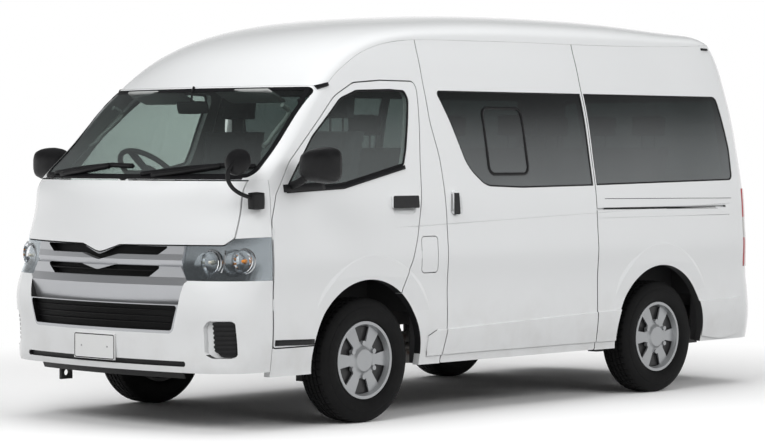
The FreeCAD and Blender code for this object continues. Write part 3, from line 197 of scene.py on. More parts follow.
floor_mesh = bpy.data.meshes.new("studio_floor")
reach = 60.0
corners = [(-reach, -reach, 0), (reach, -reach, 0), (reach, reach, 0), (-reach, reach, 0)]
floor_mesh.from_pydata(corners, [], [(0, 1, 2, 3)])
studio_floor = bpy.data.objects.new("studio_floor", floor_mesh)
bpy.context.scene.collection.objects.link(studio_floor)
paper = Finish("floor_paper", base_color=(0.55, 0.55, 0.55), roughness=0.95)
path = paper.tree.nodes.new("ShaderNodeLightPath")
looked_at = Flow(paper, path.outputs["Is Camera Ray"])
looked_at = looked_at.top(Flow(paper, path.outputs["Is Glossy Ray"]))
looked_at = looked_at.top(Flow(paper, path.outputs["Is Transmission Ray"]))
paper.tone(looked_at, (0.27, 0.27, 0.27), (0.95, 0.95, 0.95))
far_off = paper.add("ShaderNodeVectorMath", {"operation": "LENGTH"}, {0: paper.place}, "Value").ease(2.7, 5.2)
glow = paper.add("ShaderNodeEmission", {}, {"Color": (1, 1, 1), "Strength": 1.0})
lit = paper.add("ShaderNodeMixShader", {}, {0: looked_at * far_off, 2: glow})
paper.tree.links.new(paper.shader.outputs[0], lit.socket.node.inputs[1])
paper.tree.links.new(lit.socket, paper.tree.nodes["Material Output"].inputs["Surface"])
floor_mesh.materials.append(paper.material)

world = bpy.data.worlds.new("studio_air")
bpy.context.scene.world = world
world.use_nodes = True
air = world.node_tree
sky = air.nodes["Background"]
sky.inputs["Color"].default_value = (1.0, 1.0, 1.0, 1.0)
sky_path = air.nodes.new("ShaderNodeLightPath")
sky_place = air.nodes.new("ShaderNodeTexCoord")
sky_height = air.nodes.new("ShaderNodeSeparateXYZ")
air.links.new(sky_place.outputs["Generated"], sky_height.inputs[0])
sky_ramp = air.nodes.new("ShaderNodeMapRange")
sky_ramp.interpolation_type = "SMOOTHSTEP"
for place, value in ((1, 0.06), (2, 0.42), (3, 1.0), (4, 0.12)):
    sky_ramp.inputs[place].default_value = value
air.links.new(sky_height.outputs["Z"], sky_ramp.inputs[0])
sky_mirrored = air.nodes.new("ShaderNodeMix")
sky_mirrored.inputs[2].default_value = 0.37
air.links.new(sky_path.outputs["Is Glossy Ray"], sky_mirrored.inputs[0])
air.links.new(sky_ramp.outputs[0], sky_mirrored.inputs[3])
sky_through = air.nodes.new("ShaderNodeMath")
sky_through.operation = "MAXIMUM"
air.links.new(sky_path.outputs["Is Camera Ray"], sky_through.inputs[0])
air.links.new(sky_path.outputs["Is Transmission Ray"], sky_through.inputs[1])
sky_strength = air.nodes.new("ShaderNodeMix")
air.links.new(sky_through.outputs[0], sky_strength.inputs[0])
air.links.new(sky_mirrored.outputs[0], sky_strength.inputs[2])
sky_strength.inputs[3].default_value = 1.0
air.links.new(sky_strength.outputs[0], sky.inputs["Strength"])


# ---- Painted shell ----
# Pressed steel panels in white acrylic paint under clear lacquer, with the faint ripple that
# sprayed lacquer dries to, and road dust with painted shade darkening the panels low down. Their
# inner faces wear a grey lining that is darkened to near black lower down as painted shade.
# The pull handles, the lips inside the wheel arches and the cowl panel are black.
paint = Finish("white_paint", coat_roughness=0.03, ior=1.5)
lining = paint.inward((0.0, 0.0, 1.2))
drift = paint.noise(1.3, 3.0)
height = paint.part("Z")
# Road dust and painted shade: blotches that darken the outer panels towards the bottom.
dust_and_shade = (1.0 - height.ease(0.30, 0.80)) * paint.noise(7.0, 4.0).ease(0.35, 0.8)
clean_white = paint.blend(drift, (0.80, 0.813, 0.822), (0.83, 0.842, 0.848))
outside = paint.blend(dust_and_shade * 0.22, clean_white, (0.50, 0.48, 0.45))
weave = paint.noise(420.0, 2.0)
lining_cloth = paint.blend(weave, (0.30, 0.31, 0.305), (0.42, 0.43, 0.42))
# Painted shade: the inner faces fade to near black towards the bottom, below the grey lining.
inside = paint.blend(height.ease(0.72, 0.95), (0.035, 0.035, 0.036), lining_cloth)
door_face = 0.9425
handle = (abs(paint.part("X")) > door_face) * paint.between("Z", 1.158, 1.230)
handle = handle * paint.between("Y", -1.092, -0.888)
grip = (paint.part("X") > door_face) * paint.between("Z", 1.116, 1.252) * paint.between("Y", -0.599, -0.553)
pulls = handle.top(grip)
arch_height, arch_radius, arch_foot = 0.352, 0.426, 0.384
arch_lip = 0.0
for arch_middle in (-1.280, 1.290):
    along = abs(paint.part("Y") - arch_middle)
    up = height - arch_height
    above = (along * along + up * up < arch_radius ** 2) * (up > 0.0)
    arch_lip = arch_lip + above + (along < arch_foot) * (up < 0.0)
cowl = paint.between("Z", 1.3232, 1.345) * (paint.part("Y") < -2.06) * (abs(paint.part("X")) < 0.80)
pulls = pulls.top(arch_lip).top(cowl)
black_parts = paint.blend(paint.noise(60.0), (0.005, 0.005, 0.006), (0.012, 0.012, 0.013))
skin = paint.blend(pulls, outside, black_parts)
paint.tone(lining, skin, inside)
paint.set("Roughness", lining.top(pulls) * 0.25 + lining * 0.30 + 0.30)
paint.set("Coat Weight", 1.0 - lining.top(pulls))
paint.relief(paint.noise(160.0, 1.0) * (1.0 - lining) + weave * lining, 0.0004, 0.12)
wear(
    paint, "cab_side_left", "cab_side_right", "screen_frame", "quarter_panel_left", "fuel_lid",
    "side_panel_right", "door_left", "door_right", "slide_door", "hood", "fenders", "front_bumper",
    "tailgate", "rear_bumper", "roof_panel",
)


# ---- Window glass ----
# Toughened float glass: clear with a green cast in the cab, smoke grey privacy glass behind it.
# A pale film painted over the lower part stands in for a reflection. A black rubber seal is glued round the
# edge of each pane.
def pane_finish(name, tint, mirror, painted_reflection):
    # A tinted view through, lightened low down by a painted reflection, under a gloss that grows with the
    # slant.
    glass = Finish(name)
    through = glass.add("ShaderNodeBsdfTransparent", {}, {"Color": tint})
    slant = glass.add("ShaderNodeLayerWeight", {}, {"Blend": 0.5}, "Facing")
    gloss = slant * slant * slant * slant * slant * 0.95 + 0.043
    # Painted reflection: a pale diffuse film mixed over the lower part of the pane.
    painted_reflection_share = (1.0 - glass.part("Z").ease(1.28, 1.72)) * painted_reflection * (glass.noise(2.2, 3.0) * 0.5 + 0.75)
    with_reflection = glass.add("ShaderNodeMixShader", {}, {0: painted_reflection_share, 1: through})
    reflection_paint = glass.add("ShaderNodeBsdfDiffuse", {}, {"Color": (0.62, 0.65, 0.66)})
    glass.tree.links.new(reflection_paint.socket, with_reflection.socket.node.inputs[2])
    both = glass.add("ShaderNodeMixShader", {}, {0: (gloss * mirror).low(1.0), 1: with_reflection})
    shine = glass.add("ShaderNodeBsdfAnisotropic", {}, {"Color": (0.95, 0.98, 1.0), "Roughness": 0.03})
    glass.tree.links.new(shine.socket, both.socket.node.inputs[2])
    glass.tree.links.new(both.socket, glass.tree.nodes["Material Output"].inputs["Surface"])
    return glass


cab_glass = pane_finish("cab_glass", (0.75, 0.80, 0.78), 1.5, 0.05)
smoke_glass = pane_finish("smoke_glass", (0.29, 0.325, 0.32), 1.9, 0.14)
wear(cab_glass, "windshield", "door_left_glass", "door_right_glass")
wear(smoke_glass, "side_glass", "slide_door_glass", "tailgate_glass")

rubber = Finish("window_rubber", roughness=0.55, specular_ior_level=0.25)
rubber.tone(rubber.noise(35.0, 3.0), (0.005, 0.005, 0.006), (0.012, 0.012, 0.013))
rubber.relief(rubber.noise(500.0, 2.0), 0.0003, 0.2)


def made(name, shape):
    # The plain mesh of a drawn shape.
    mesh = bpy.data.meshes.new(name)
    shape.to_mesh(mesh)
    shape.free()
    return mesh


def finished(name, mesh, finish, body):
    # A piece of its own in one finish, which rides on a body.
    mesh.materials.clear()
    mesh.materials.append(finish.material)
    for face in mesh.polygons:
        face.use_smooth = True
    piece = bpy.data.objects.new(name, mesh)
    bpy.context.scene.collection.objects.link(piece)
    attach(piece, body)
    return piece


def sealed(name, node_name, direction, width, body):
    # A band round each pane's outer face, a millimetre proud of the glass.
    shape = bmesh.new()
    shape.from_mesh(nodes[node_name].data)
    bmesh.ops.remove_doubles(shape, verts=shape.verts, dist=0.00002)
    looking = Vector(direction)
    hidden = []
    for face in shape.faces:
        side = looking.copy()
        if direction[0]:
            side.x = math.copysign(1.0, face.calc_center_median().x)
        if face.normal.dot(side) < 0.45:
            hidden.append(face)
    bmesh.ops.delete(shape, geom=hidden, context="FACES")
    bmesh.ops.dissolve_limit(shape, angle_limit=0.01, verts=shape.verts, edges=shape.edges)
    bmesh.ops.triangulate(shape, faces=shape.faces)
    ring = bmesh.ops.inset_region(
        shape, faces=shape.faces, thickness=width, use_even_offset=True, use_boundary=True)["faces"]
    kept = set(ring)
    bmesh.ops.delete(shape, geom=[f for f in shape.faces if f not in kept], context="FACES")
    for vertex in shape.verts:
        vertex.co += vertex.normal * 0.0003
    shape.normal_update()
    walls = bmesh.ops.extrude_face_region(shape, geom=shape.faces[:])
    for item in walls["geom"]:
        if isinstance(item, bmesh.types.BMVert):
            item.co += item.normal * 0.0012
    bmesh.ops.recalc_face_normals(shape, faces=shape.faces)
    return finished(name, made(name, shape), rubber, body)


sealed("windshield_edge", "windshield", (0, -1, 0), 0.030, "body")
sealed("side_glass_edge", "side_glass", (1, 0, 0), 0.009, "body")
sealed("slide_door_glass_edge", "slide_door_glass", (1, 0, 0), 0.009, "body")
sealed("tailgate_glass_edge", "tailgate_glass", (0, 1, 0), 0.024, "tailgate")
sealed("door_left_seal", "door_left_glass", (1, 0, 0), 0.014, "door_left")
sealed("door_right_seal", "door_right_glass", (1, 0, 0), 0.014, "door_right")


# ---- Side trim ----
# Black plastic and rubber strips, clipped or glued along the sides: the belt strip and the mirror's
# sail under each front window, the strip at each door's foot, the vent window's frame, the drip
# rail's end caps, and the channel and cover gap of the sliding door's rail.
plastic = Finish("black_plastic", specular_ior_level=0.28)
grain = plastic.cells(900.0)
plastic.tone(plastic.noise(20.0, 3.0), (0.005, 0.005, 0.0055), (0.012, 0.012, 0.013))
plastic.set("Roughness", plastic.noise(60.0, 3.0) * 0.2 + 0.36)
plastic.relief(grain, 0.0004, 0.35)


def skin_of(*names):
    # The surface of some nodes, as something that a look can meet.
    shape = bmesh.new()
    for name in names:
        shape.from_mesh(nodes[name].data)
    tree = BVHTree.FromBMesh(shape)
    shape.free()
    return tree


def met(tree, side, along, up):
    # Where a look at the object from one side, at a place along it and a height, meets its skin.
    start, look = {
        "left": (Vector((2.0, along, up)), Vector((-1, 0, 0))),
        "right": (Vector((-2.0, along, up)), Vector((1, 0, 0))),
        "front": (Vector((along, -4.0, up)), Vector((0, 1, 0))),
        "back": (Vector((along, 4.0, up)), Vector((0, -1, 0))),
    }[side]
    return tree.ray_cast(start, look)[:2]


def moulding(name, tree, side, route, width, proud, finish, body, closed=False):
    # A strip with a rounded back that follows a route over the skin.
    section = [(-0.5, -0.0005), (-0.5, 0.55 * proud), (-0.36, proud)]
    section += [(-share, lift) for share, lift in reversed(section)]
    points = [Vector((a, b, 0.0)) for a, b in route if met(tree, side, a, b)[0]]
    shape = bmesh.new()
    rows = []
    count = len(points)
    for index, point in enumerate(points):
        ahead = points[(index + 1) % count] if closed or index + 1 < count else point
        shaded_behind_cover = points[index - 1] if closed or index else point
        run = (ahead - shaded_behind_cover).normalized()
        across = Vector((-run.y, run.x, 0.0))
        if closed or 0 < index < count - 1:
            bend = run.dot((ahead - point).normalized())
            across = across / max(bend, 0.4)
        row = []
        for share, lift in section:
            spot = point + across * (share * width)
            place, normal = met(tree, side, spot.x, spot.y)
            if place is None:
                place, normal = met(tree, side, point.x, point.y)
            row.append(shape.verts.new(place + normal * lift))
        rows.append(row)
    pairs = list(zip(rows, rows[1:]))
    if closed:
        pairs.append((rows[-1], rows[0]))
    for first, second in pairs:
        for k in range(len(section)):
            m = (k + 1) % len(section)
            shape.faces.new((first[k], first[m], second[m], second[k]))
    if not closed:
        shape.faces.new(rows[0])
        shape.faces.new(list(reversed(rows[-1])))
    bmesh.ops.recalc_face_normals(shape, faces=shape.faces)
    return finished(name, made(name, shape), finish, body)


def stepped(corners, step=0.03):
    # The corners of a route with points between them, a few centimetres apart.
    route = []
    for (a, b), (c, d) in zip(corners, corners[1:]):
        parts = max(1, round(math.hypot(c - a, d - b) / step))
        for k in range(parts):
            route.append((a + (c - a) * k / parts, b + (d - b) * k / parts))
    return route + [corners[-1]]


def looped(corners, radius, steps=6):
    # A closed outline with rounded corners.
    route = []
    count = len(corners)
    for index, corner in enumerate(corners):
        here = Vector(corner)
        back = (Vector(corners[index - 1]) - here).normalized()
        ahead = (Vector(corners[(index + 1) % count]) - here).normalized()
        angle = back.angle(ahead)
        reach = radius / math.tan(angle / 2)
        centre = here + (back + ahead).normalized() * (radius / math.sin(angle / 2))
        first = (here + back * reach - centre).normalized()
        last = (here + ahead * reach - centre).normalized()
        for k in range(steps + 1):
            route.append(tuple(centre + first.slerp(last, k / steps) * radius))
    return route


door_skin = {side: skin_of("door_" + side, "door_" + side + "_glass") for side in ("left", "right")}
for side in ("left", "right"):
    belt_line = stepped([(-1.885, 1.262), (-1.45, 1.280), (-0.955, 1.384)])
    moulding("belt_strip_" + side, door_skin[side], side, belt_line, 0.022, 0.006, rubber, "door_" + side)
    low_line = stepped([(-1.985, 0.470), (-1.700, 0.462)])
    moulding("door_foot_" + side, door_skin[side], side, low_line, 0.030, 0.006, plastic, "door_" + side)
    sail = stepped([(-1.905, 1.276), (-1.60, 1.287)])
    moulding("mirror_sail_" + side, door_skin[side], side, sail, 0.040, 0.010, plastic, "door_" + side)

slide_skin = skin_of("slide_door", "slide_door_glass")
vent = looped([(-0.25, 1.340), (0.09, 1.340), (0.09, 1.717), (-0.25, 1.717)], 0.045)
moulding("vent_frame", slide_skin, "left", vent, 0.016, 0.006, plastic, "body", closed=True)

both_sides = ("screen_frame", "roof_panel", "tail_lamps")
side_skin = {
    "left": skin_of("cab_side_left", "quarter_panel_left", "slide_door", *both_sides),
    "right": skin_of("cab_side_right", "side_panel_right", *both_sides),
}
for side in ("left", "right"):
    front_end = stepped([(-1.545, 1.812), (-1.465, 1.832)], 0.02)
    moulding("gutter_front_" + side, side_skin[side], side, front_end, 0.020, 0.010, plastic, "body")
    rear_end = stepped([(1.955, 2.112), (2.020, 2.110)], 0.02)
    moulding("gutter_rear_" + side, side_skin[side], side, rear_end, 0.014, 0.009, plastic, "body")
channel = stepped([(0.755, 1.1295), (1.860, 1.119)])
moulding("rail_channel", side_skin["left"], "left", channel, 0.011, 0.0015, rubber, "body")
cover_gap = stepped([(0.755, 1.188), (2.010, 1.176)])
moulding("rail_cover_gap", side_skin["left"], "left", cover_gap, 0.0035, 0.0004, rubber, "body")


# ---- Nose: grille, blanks and wipers ----
# The grille frame is moulded plastic in silver paint. Behind its openings sit black mesh panels,
# and black ribbed blanks fill the pockets in the bumper's corners. A rubber strip runs along the
# cowl under the windshield, and two wipers with rubber blades rest on the glass.
silver = Finish("grille_silver", metallic=0.75, coat_weight=0.5, coat_roughness=0.08)
flake = silver.noise(700.0, 1.0)
silver_top = silver.blend(flake, (0.42, 0.43, 0.45), (0.52, 0.53, 0.55))
silver.tone(silver.inward((0.0, 0.0, 0.8)), silver_top, (0.03, 0.03, 0.03))
silver.set("Roughness", silver.noise(3.0, 2.0) * 0.1 + 0.30)
silver.relief(silver.noise(240.0, 2.0), 0.0003, 0.10)
wear(silver, "grille")

mesh_black = Finish("mesh_black", roughness=0.55, specular_ior_level=0.2)
leaning = mesh_black.add("ShaderNodeMapping", {}, {"Vector": mesh_black.place, "Rotation": (0.0, 0.785, 0.0)})
net = mesh_black.add("ShaderNodeSeparateXYZ", {}, {0: leaning}, "X")
net_cross = mesh_black.add("ShaderNodeSeparateXYZ", {}, {0: leaning}, "Z")
wires = abs((net * 420.0).wave()).low(abs((net_cross * 420.0).wave())).ease(0.15, 0.45)
mesh_black.tone(wires, (0.012, 0.012, 0.013), (0.003, 0.003, 0.003))
mesh_black.relief(1.0 - wires, 0.002, 0.8)
wear(mesh_black, "grille_panels")
wear(plastic, "bumper_blanks", "mirror_left", "mirror_right", "corner_mirror", "wipers")

nose_skin = skin_of("windshield", "screen_frame", "cab_side_left", "cab_side_right")
cowl_line = stepped([(-0.76, 1.331), (-0.5, 1.327), (0.5, 1.327), (0.76, 1.331)])
moulding("cowl_strip", nose_skin, "front", cowl_line, 0.022, 0.004, rubber, "body")
for name, start in (("right", -0.70), ("left", 0.12)):
    blade = stepped([(start, 1.344), (start + 0.30, 1.376), (start + 0.52, 1.391), (start + 0.70, 1.386)])
    moulding("wiper_blade_" + name, nose_skin, "front", blade, 0.013, 0.020, rubber, "body")
    arm = stepped([(start + 0.10, 1.334), (start + 0.28, 1.352), (start + 0.50, 1.384)])
    held = moulding("wiper_arm_" + name, nose_skin, "front", arm, 0.014, 0.028, plastic, "body")
    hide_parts("wipers")


# ---- Lamps ----
# Clear polycarbonate covers over a silver housing with two faceted chrome bowls, each with its
# bulb, the outer one amber. The tail lamps are red lenses with a clear band and fine ribs inside.
chrome = Finish("lamp_chrome", metallic=0.92)
near_bowl = chrome.noise(2.0, 1.0)
chrome.tone(near_bowl, (0.34, 0.35, 0.365), (0.50, 0.51, 0.52))
chrome.set("Roughness", chrome.noise(24.0, 2.0) * 0.10 + 0.10)
ribs = (chrome.part("X") * 520.0).wave() * 0.5 + 0.5
chrome.relief(ribs * (chrome.part("Z") < 0.845), 0.001, 0.5)
wear(chrome, "headlamps")
lamp_glass = pane_finish("lamp_glass", (0.90, 0.92, 0.93), 1.0, 0.0)
wear(lamp_glass, "lamp_covers")
bright_chrome = Finish("bright_chrome", metallic=1.0)
bright_chrome.tone(bright_chrome.noise(9.0), (0.80, 0.81, 0.83), (0.90, 0.91, 0.92))
bright_chrome.set("Roughness", bright_chrome.noise(30.0, 2.0) * 0.05 + 0.05)
amber_glass = Finish("amber_glass", roughness=0.10, ior=1.5)
amber_glass.tone(amber_glass.noise(60.0), (0.78, 0.24, 0.03), (0.86, 0.34, 0.05))
bulb_glass = Finish("bulb_glass", roughness=0.08, ior=1.5)
bulb_glass.tone(bulb_glass.noise(60.0), (0.62, 0.58, 0.48), (0.72, 0.70, 0.62))


def turned(name, outline, base, direction, finish, body, steps=40):
    # A piece turned from an outline of (radius, height) about an axis through its base.
    shape = bmesh.new()
    spin = Vector((0, 0, 1)).rotation_difference(Vector(direction).normalized()).to_matrix()
    rows = []
    for k in range(steps):
        angle = 2 * math.pi * k / steps
        row = []
        for radius, height in outline:
            spot = spin @ Vector((radius * math.cos(angle), radius * math.sin(angle), height))
            row.append(shape.verts.new(spot + Vector(base)))
        rows.append(row)
    for k in range(steps):
        first, second = rows[k], rows[(k + 1) % steps]
        for m in range(len(outline) - 1):
            shape.faces.new((first[m], second[m], second[m + 1], first[m + 1]))
    bmesh.ops.remove_doubles(shape, verts=shape.verts, dist=0.00001)
    bmesh.ops.holes_fill(shape, edges=shape.edges, sides=0)
    bmesh.ops.recalc_face_normals(shape, faces=shape.faces)
    return finished(name, made(name, shape), finish, body)


bulb = [
    (0.0, 0.034), (0.006, 0.033), (0.008, 0.028), (0.008, 0.008), (0.013, 0.004), (0.013, -0.002),
    (0.0, -0.002)]
bowl = [
    (0.058, 0.016), (0.056, 0.004), (0.048, -0.008), (0.034, -0.016), (0.014, -0.018), (0.0, -0.018),
    (0.0, -0.020), (0.050, -0.016), (0.060, 0.012), (0.058, 0.016)]
edge = [
    (0.060, 0.012), (0.062, 0.018), (0.067, 0.018), (0.069, 0.010), (0.066, 0.006), (0.061, 0.007),
    (0.060, 0.012)]
bowl_skin = skin_of("headlamps")
hands = (("left", 1), ("right", -1))
for side, sign in hands:
    for kind, x, z in (("dip", 0.735, 0.893), ("main", 0.877, 0.900)):
        place = met(bowl_skin, "front", sign * x, z)[0]
        out = Vector((sign * (0.15 if kind == "dip" else 0.35), -1.0, 0.05))
        lit_by = bulb_glass if kind == "dip" else amber_glass
        turned("bulb_%s_%s" % (kind, side), bulb, place, out, lit_by, "body", 24)
        ahead = place + Vector((0, -0.012, 0))
        facets = turned(
            "bowl_%s_%s" % (kind, side), bowl, ahead, out, bright_chrome, "body", 18)
        for face in facets.data.polygons:
            face.use_smooth = False
        turned("bowl_ring_%s_%s" % (kind, side), edge, place, out, chrome, "body", 48)

cover_skin = skin_of("lamp_covers")
for side, sign in hands:
    parting = stepped([(sign * 0.806, 0.842), (sign * 0.806, 0.958)])
    moulding("lamp_parting_" + side, cover_skin, "front", parting, 0.006, 0.0012, chrome, "body")

red_lens = Finish("red_lens", roughness=0.10, coat_weight=0.8, coat_roughness=0.03)
band = red_lens.between("Z", 0.925, 1.055)
red = red_lens.blend(red_lens.cells(260.0), (0.50, 0.015, 0.025), (0.34, 0.006, 0.012))
clear_band = red_lens.blend(red_lens.cells(260.0), (0.62, 0.60, 0.58), (0.45, 0.44, 0.43))
red_lens.tone(band, red, clear_band)
red_lens.relief((red_lens.part("Z") * 900.0).wave(), 0.0004, 0.4)
wear(red_lens, "tail_lamps")
for side in ("left", "right"):
    lens_end = stepped([(2.168, 0.744), (2.168, 1.233)])
    moulding("tail_lens_" + side, side_skin[side], side, lens_end, 0.066, 0.004, red_lens, "body")


# ---- Number plates ----
# Blank pressed aluminium plates under white reflective film, with a rolled rim and two screws.
plate_film = Finish("plate_film", roughness=0.42, coat_weight=0.4)
beads = plate_film.cells(1200.0)
plate_film.tone(beads, (0.80, 0.81, 0.81), (0.86, 0.865, 0.86))
plate_film.relief(beads, 0.0002, 0.3)
wear(plate_film, "front_plate", "rear_plate")
steel = Finish("bright_steel", metallic=0.9)
steel.tone(steel.noise(90.0, 3.0), (0.42, 0.42, 0.43), (0.55, 0.55, 0.56))
steel.set("Roughness", steel.noise(160.0, 3.0) * 0.2 + 0.28)
for end, side, body, low in (("front", "front", "body", 0.364), ("rear", "back", "tailgate", 0.762)):
    plate_skin = skin_of(end + "_plate")
    foot, top = low + 0.005, low + 0.132
    rim = looped([(-0.160, foot), (0.160, foot), (0.160, top), (-0.160, top)], 0.010)
    moulding(end + "_plate_rim", plate_skin, side, rim, 0.005, 0.0012, plastic, body, closed=True)
    for name, x in (("a", -0.105), ("b", 0.105)):
        place, normal = met(plate_skin, side, x, low + 0.0685)
        head = [(0.0, 0.0022), (0.0045, 0.0018), (0.0058, 0.0004), (0.0058, -0.0005), (0.0, -0.0005)]
        turned("%s_plate_screw_%s" % (end, name), head, place, normal, steel, body, 20)


# ---- Underbody ----
# Frame, axles and springs in satin black paint over steel with dried mud, a raw cast engine and
# an aluminised exhaust, and a grey coated floor.
chassis = Finish("chassis_black")
mud = chassis.noise(14.0, 5.0).ease(0.45, 0.8)
chassis.tone(mud * 0.5, (0.018, 0.018, 0.019), (0.10, 0.09, 0.08))
chassis.set("Roughness", mud * 0.3 + 0.5)
chassis.relief(chassis.noise(70.0, 4.0), 0.001, 0.3)
wear(
    chassis, "chassis_rails", "front_suspension", "rear_axle", "leaf_springs", "fuel_tank",
    "knuckle_left", "knuckle_right",
)
cast = Finish("cast_metal", metallic=0.6)
oily = cast.noise(9.0, 5.0)
cast.tone(oily.ease(0.4, 0.7), (0.16, 0.16, 0.165), (0.30, 0.30, 0.31))
cast.set("Roughness", oily * 0.3 + 0.4)
cast.relief(cast.noise(220.0, 4.0), 0.0008, 0.4)
wear(cast, "engine")
pipe_steel = Finish("pipe_steel", metallic=0.8)
rust = pipe_steel.noise(11.0, 6.0).ease(0.52, 0.74)
pipe_steel.tone(rust, (0.36, 0.35, 0.34), (0.20, 0.10, 0.05))
pipe_steel.set("Roughness", rust * 0.4 + 0.35)
pipe_steel.relief(pipe_steel.noise(120.0, 4.0), 0.0005, 0.3)
wear(pipe_steel, "exhaust")
floor_coat = Finish("floor_coat", roughness=0.8)
speckle = floor_coat.noise(260.0, 3.0)
floor_coat.tone(speckle, (0.045, 0.045, 0.047), (0.085, 0.085, 0.088))
floor_coat.relief(speckle, 0.0008, 0.4)
wear(floor_coat, "floor_pan")


# ---- Wheels and tyres ----
# Pressed steel rims under silver painted six spoke covers; the rim behind the covers is painted near
# black as shade. The tyres are moulded rubber with five tread ribs, sipes across them, and a bead
# ring and a raised rim guard on the sidewalls.
wheel_paint = Finish("wheel_silver", coat_weight=0.35, coat_roughness=0.12)
# Painted shade: the rim behind the cover's face, seen through the spoke windows, is painted near black.
shaded_behind_cover = abs(wheel_paint.part("X")) < 0.884
metal_flake = wheel_paint.noise(520.0, 1.0)
cover_silver = wheel_paint.blend(metal_flake, (0.34, 0.35, 0.36), (0.41, 0.42, 0.43))
wheel_paint.tone(shaded_behind_cover, cover_silver, (0.016, 0.016, 0.017))
wheel_paint.set("Metallic", (1.0 - shaded_behind_cover) * 0.55)
wheel_paint.set("Roughness", shaded_behind_cover * 0.25 + 0.34)
wheel_paint.relief(wheel_paint.noise(300.0, 2.0), 0.0002, 0.15)
wear(wheel_paint, "wheel_front_left", "wheel_front_right", "wheel_rear_left", "wheel_rear_right")

tyre_rubber = Finish("tyre_rubber", roughness=0.72, specular_ior_level=0.2)
worn_grey = tyre_rubber.noise(30.0, 4.0)
tyre_rubber.tone(worn_grey, (0.003, 0.003, 0.0035), (0.009, 0.009, 0.009))
tyre_rubber.relief(tyre_rubber.noise(260.0, 3.0), 0.0004, 0.25)

tyre_outer = 0.340
sidewall = [
    (0.0760, 0.2035), (0.0765, 0.2125), (0.0845, 0.2150), (0.0890, 0.2210), (0.0885, 0.2235),
    (0.0925, 0.2300),
    (0.0955, 0.2440), (0.0972, 0.2600), (0.0970, 0.2720), (0.0955, 0.2860), (0.0935, 0.2880),
    (0.0925, 0.3000), (0.0890, 0.3130), (0.0845, 0.3220), (0.0800, 0.3285), (0.0745, 0.3335),
]
tread = [
    (0.0690, 0.3368, 1), (0.0560, 0.3385, 1), (0.0480, 0.3390, 1), (0.0470, 0.3320, 0), (0.0400, 0.3320, 0),
    (0.0390, 0.3394, 2), (0.0280, 0.3397, 2), (0.0190, 0.3399, 2), (0.0180, 0.3325, 0), (0.0110, 0.3325, 0),
    (0.0100, 0.3400, 3), (0.0000, 0.3400, 3),
]
outline = [(x, r, 0) for x, r in sidewall] + tread
outline = outline + [(-x, r, rib) for x, r, rib in reversed(outline[:-1])]
turns, sipe_step = 300, 6
wheel_middle = 0.8275
for side, sign in hands:
    for end, axle in (("front", -1.285), ("rear", 1.285)):
        shape = bmesh.new()
        rings = []
        for k in range(turns):
            angle = 2 * math.pi * k / turns
            ring = []
            for x, r, rib in outline:
                phase = (k + (sipe_step // 2 if x * sign < 0 else 0) + rib) % sipe_step
                depth = 0.0055 if rib in (1, 2) and phase == 0 else 0.0
                if rib == 3 and k % sipe_step == sipe_step // 2:
                    depth = 0.003
                if 0.0890 <= abs(x) < 0.0930 and r > 0.30:
                    depth = 0.002 if k % 3 == 0 else 0.0
                y, z = (r - depth) * math.sin(angle), (r - depth) * math.cos(angle)
                ring.append(shape.verts.new((sign * wheel_middle + x, axle + y, tyre_outer + z)))
            rings.append(ring)
        for k in range(turns):
            first, second = rings[k], rings[(k + 1) % turns]
            for m in range(len(outline)):
                n = (m + 1) % len(outline)
                shape.faces.new((first[m], first[n], second[n], second[m]))
        bmesh.ops.recalc_face_normals(shape, faces=shape.faces)
        name = "tread_%s_%s" % (end, side)
        tyre = finished(name, made(name, shape), tyre_rubber, "wheel_%s_%s" % (end, side))
        tyre.data.set_sharp_from_angle(angle=math.radians(38))
        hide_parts("tyre_%s_%s" % (end, side))
spare_finish = Finish("spare_wheel_rubber", roughness=0.75)
spare_grime = spare_finish.noise(12.0, 3.0)
spare_finish.tone(spare_grime, (0.012, 0.012, 0.012), (0.030, 0.029, 0.028))
spare_finish.relief(spare_finish.noise(180.0, 3.0), 0.0006, 0.3)
wear(spare_finish, "spare_wheel")


# ---- Mirrors ----
# Door mirrors in black moulded shells on a bent foot, with crowned glass pressed into the back, and
# a round corner mirror on a bent bar at the front. Inside hang the cabin mirror on its stem, two
# padded sun visors and a grip on each windshield pillar.
def evaluated(drawn):
    # A plain mesh of an object with its curve's bevel or its modifiers applied.
    return bpy.data.meshes.new_from_object(drawn.evaluated_get(bpy.context.evaluated_depsgraph_get()))


def tube(name, points, radius, finish, body):
    # A round bar along a smooth line through the points.
    line = bpy.data.curves.new(name, "CURVE")
    line.dimensions = "3D"
    spline = line.splines.new("NURBS")
    spline.points.add(len(points) - 1)
    for knot, place in zip(spline.points, points):
        knot.co = (*place, 1.0)
    spline.order_u = 3
    spline.use_endpoint_u = True
    line.bevel_depth = radius
    line.bevel_resolution = 4
    line.use_fill_caps = True
    drawn = bpy.data.objects.new(name, line)
    bpy.context.scene.collection.objects.link(drawn)
    mesh = evaluated(drawn)
    bpy.data.objects.remove(drawn)
    return finished(name, mesh, finish, body)


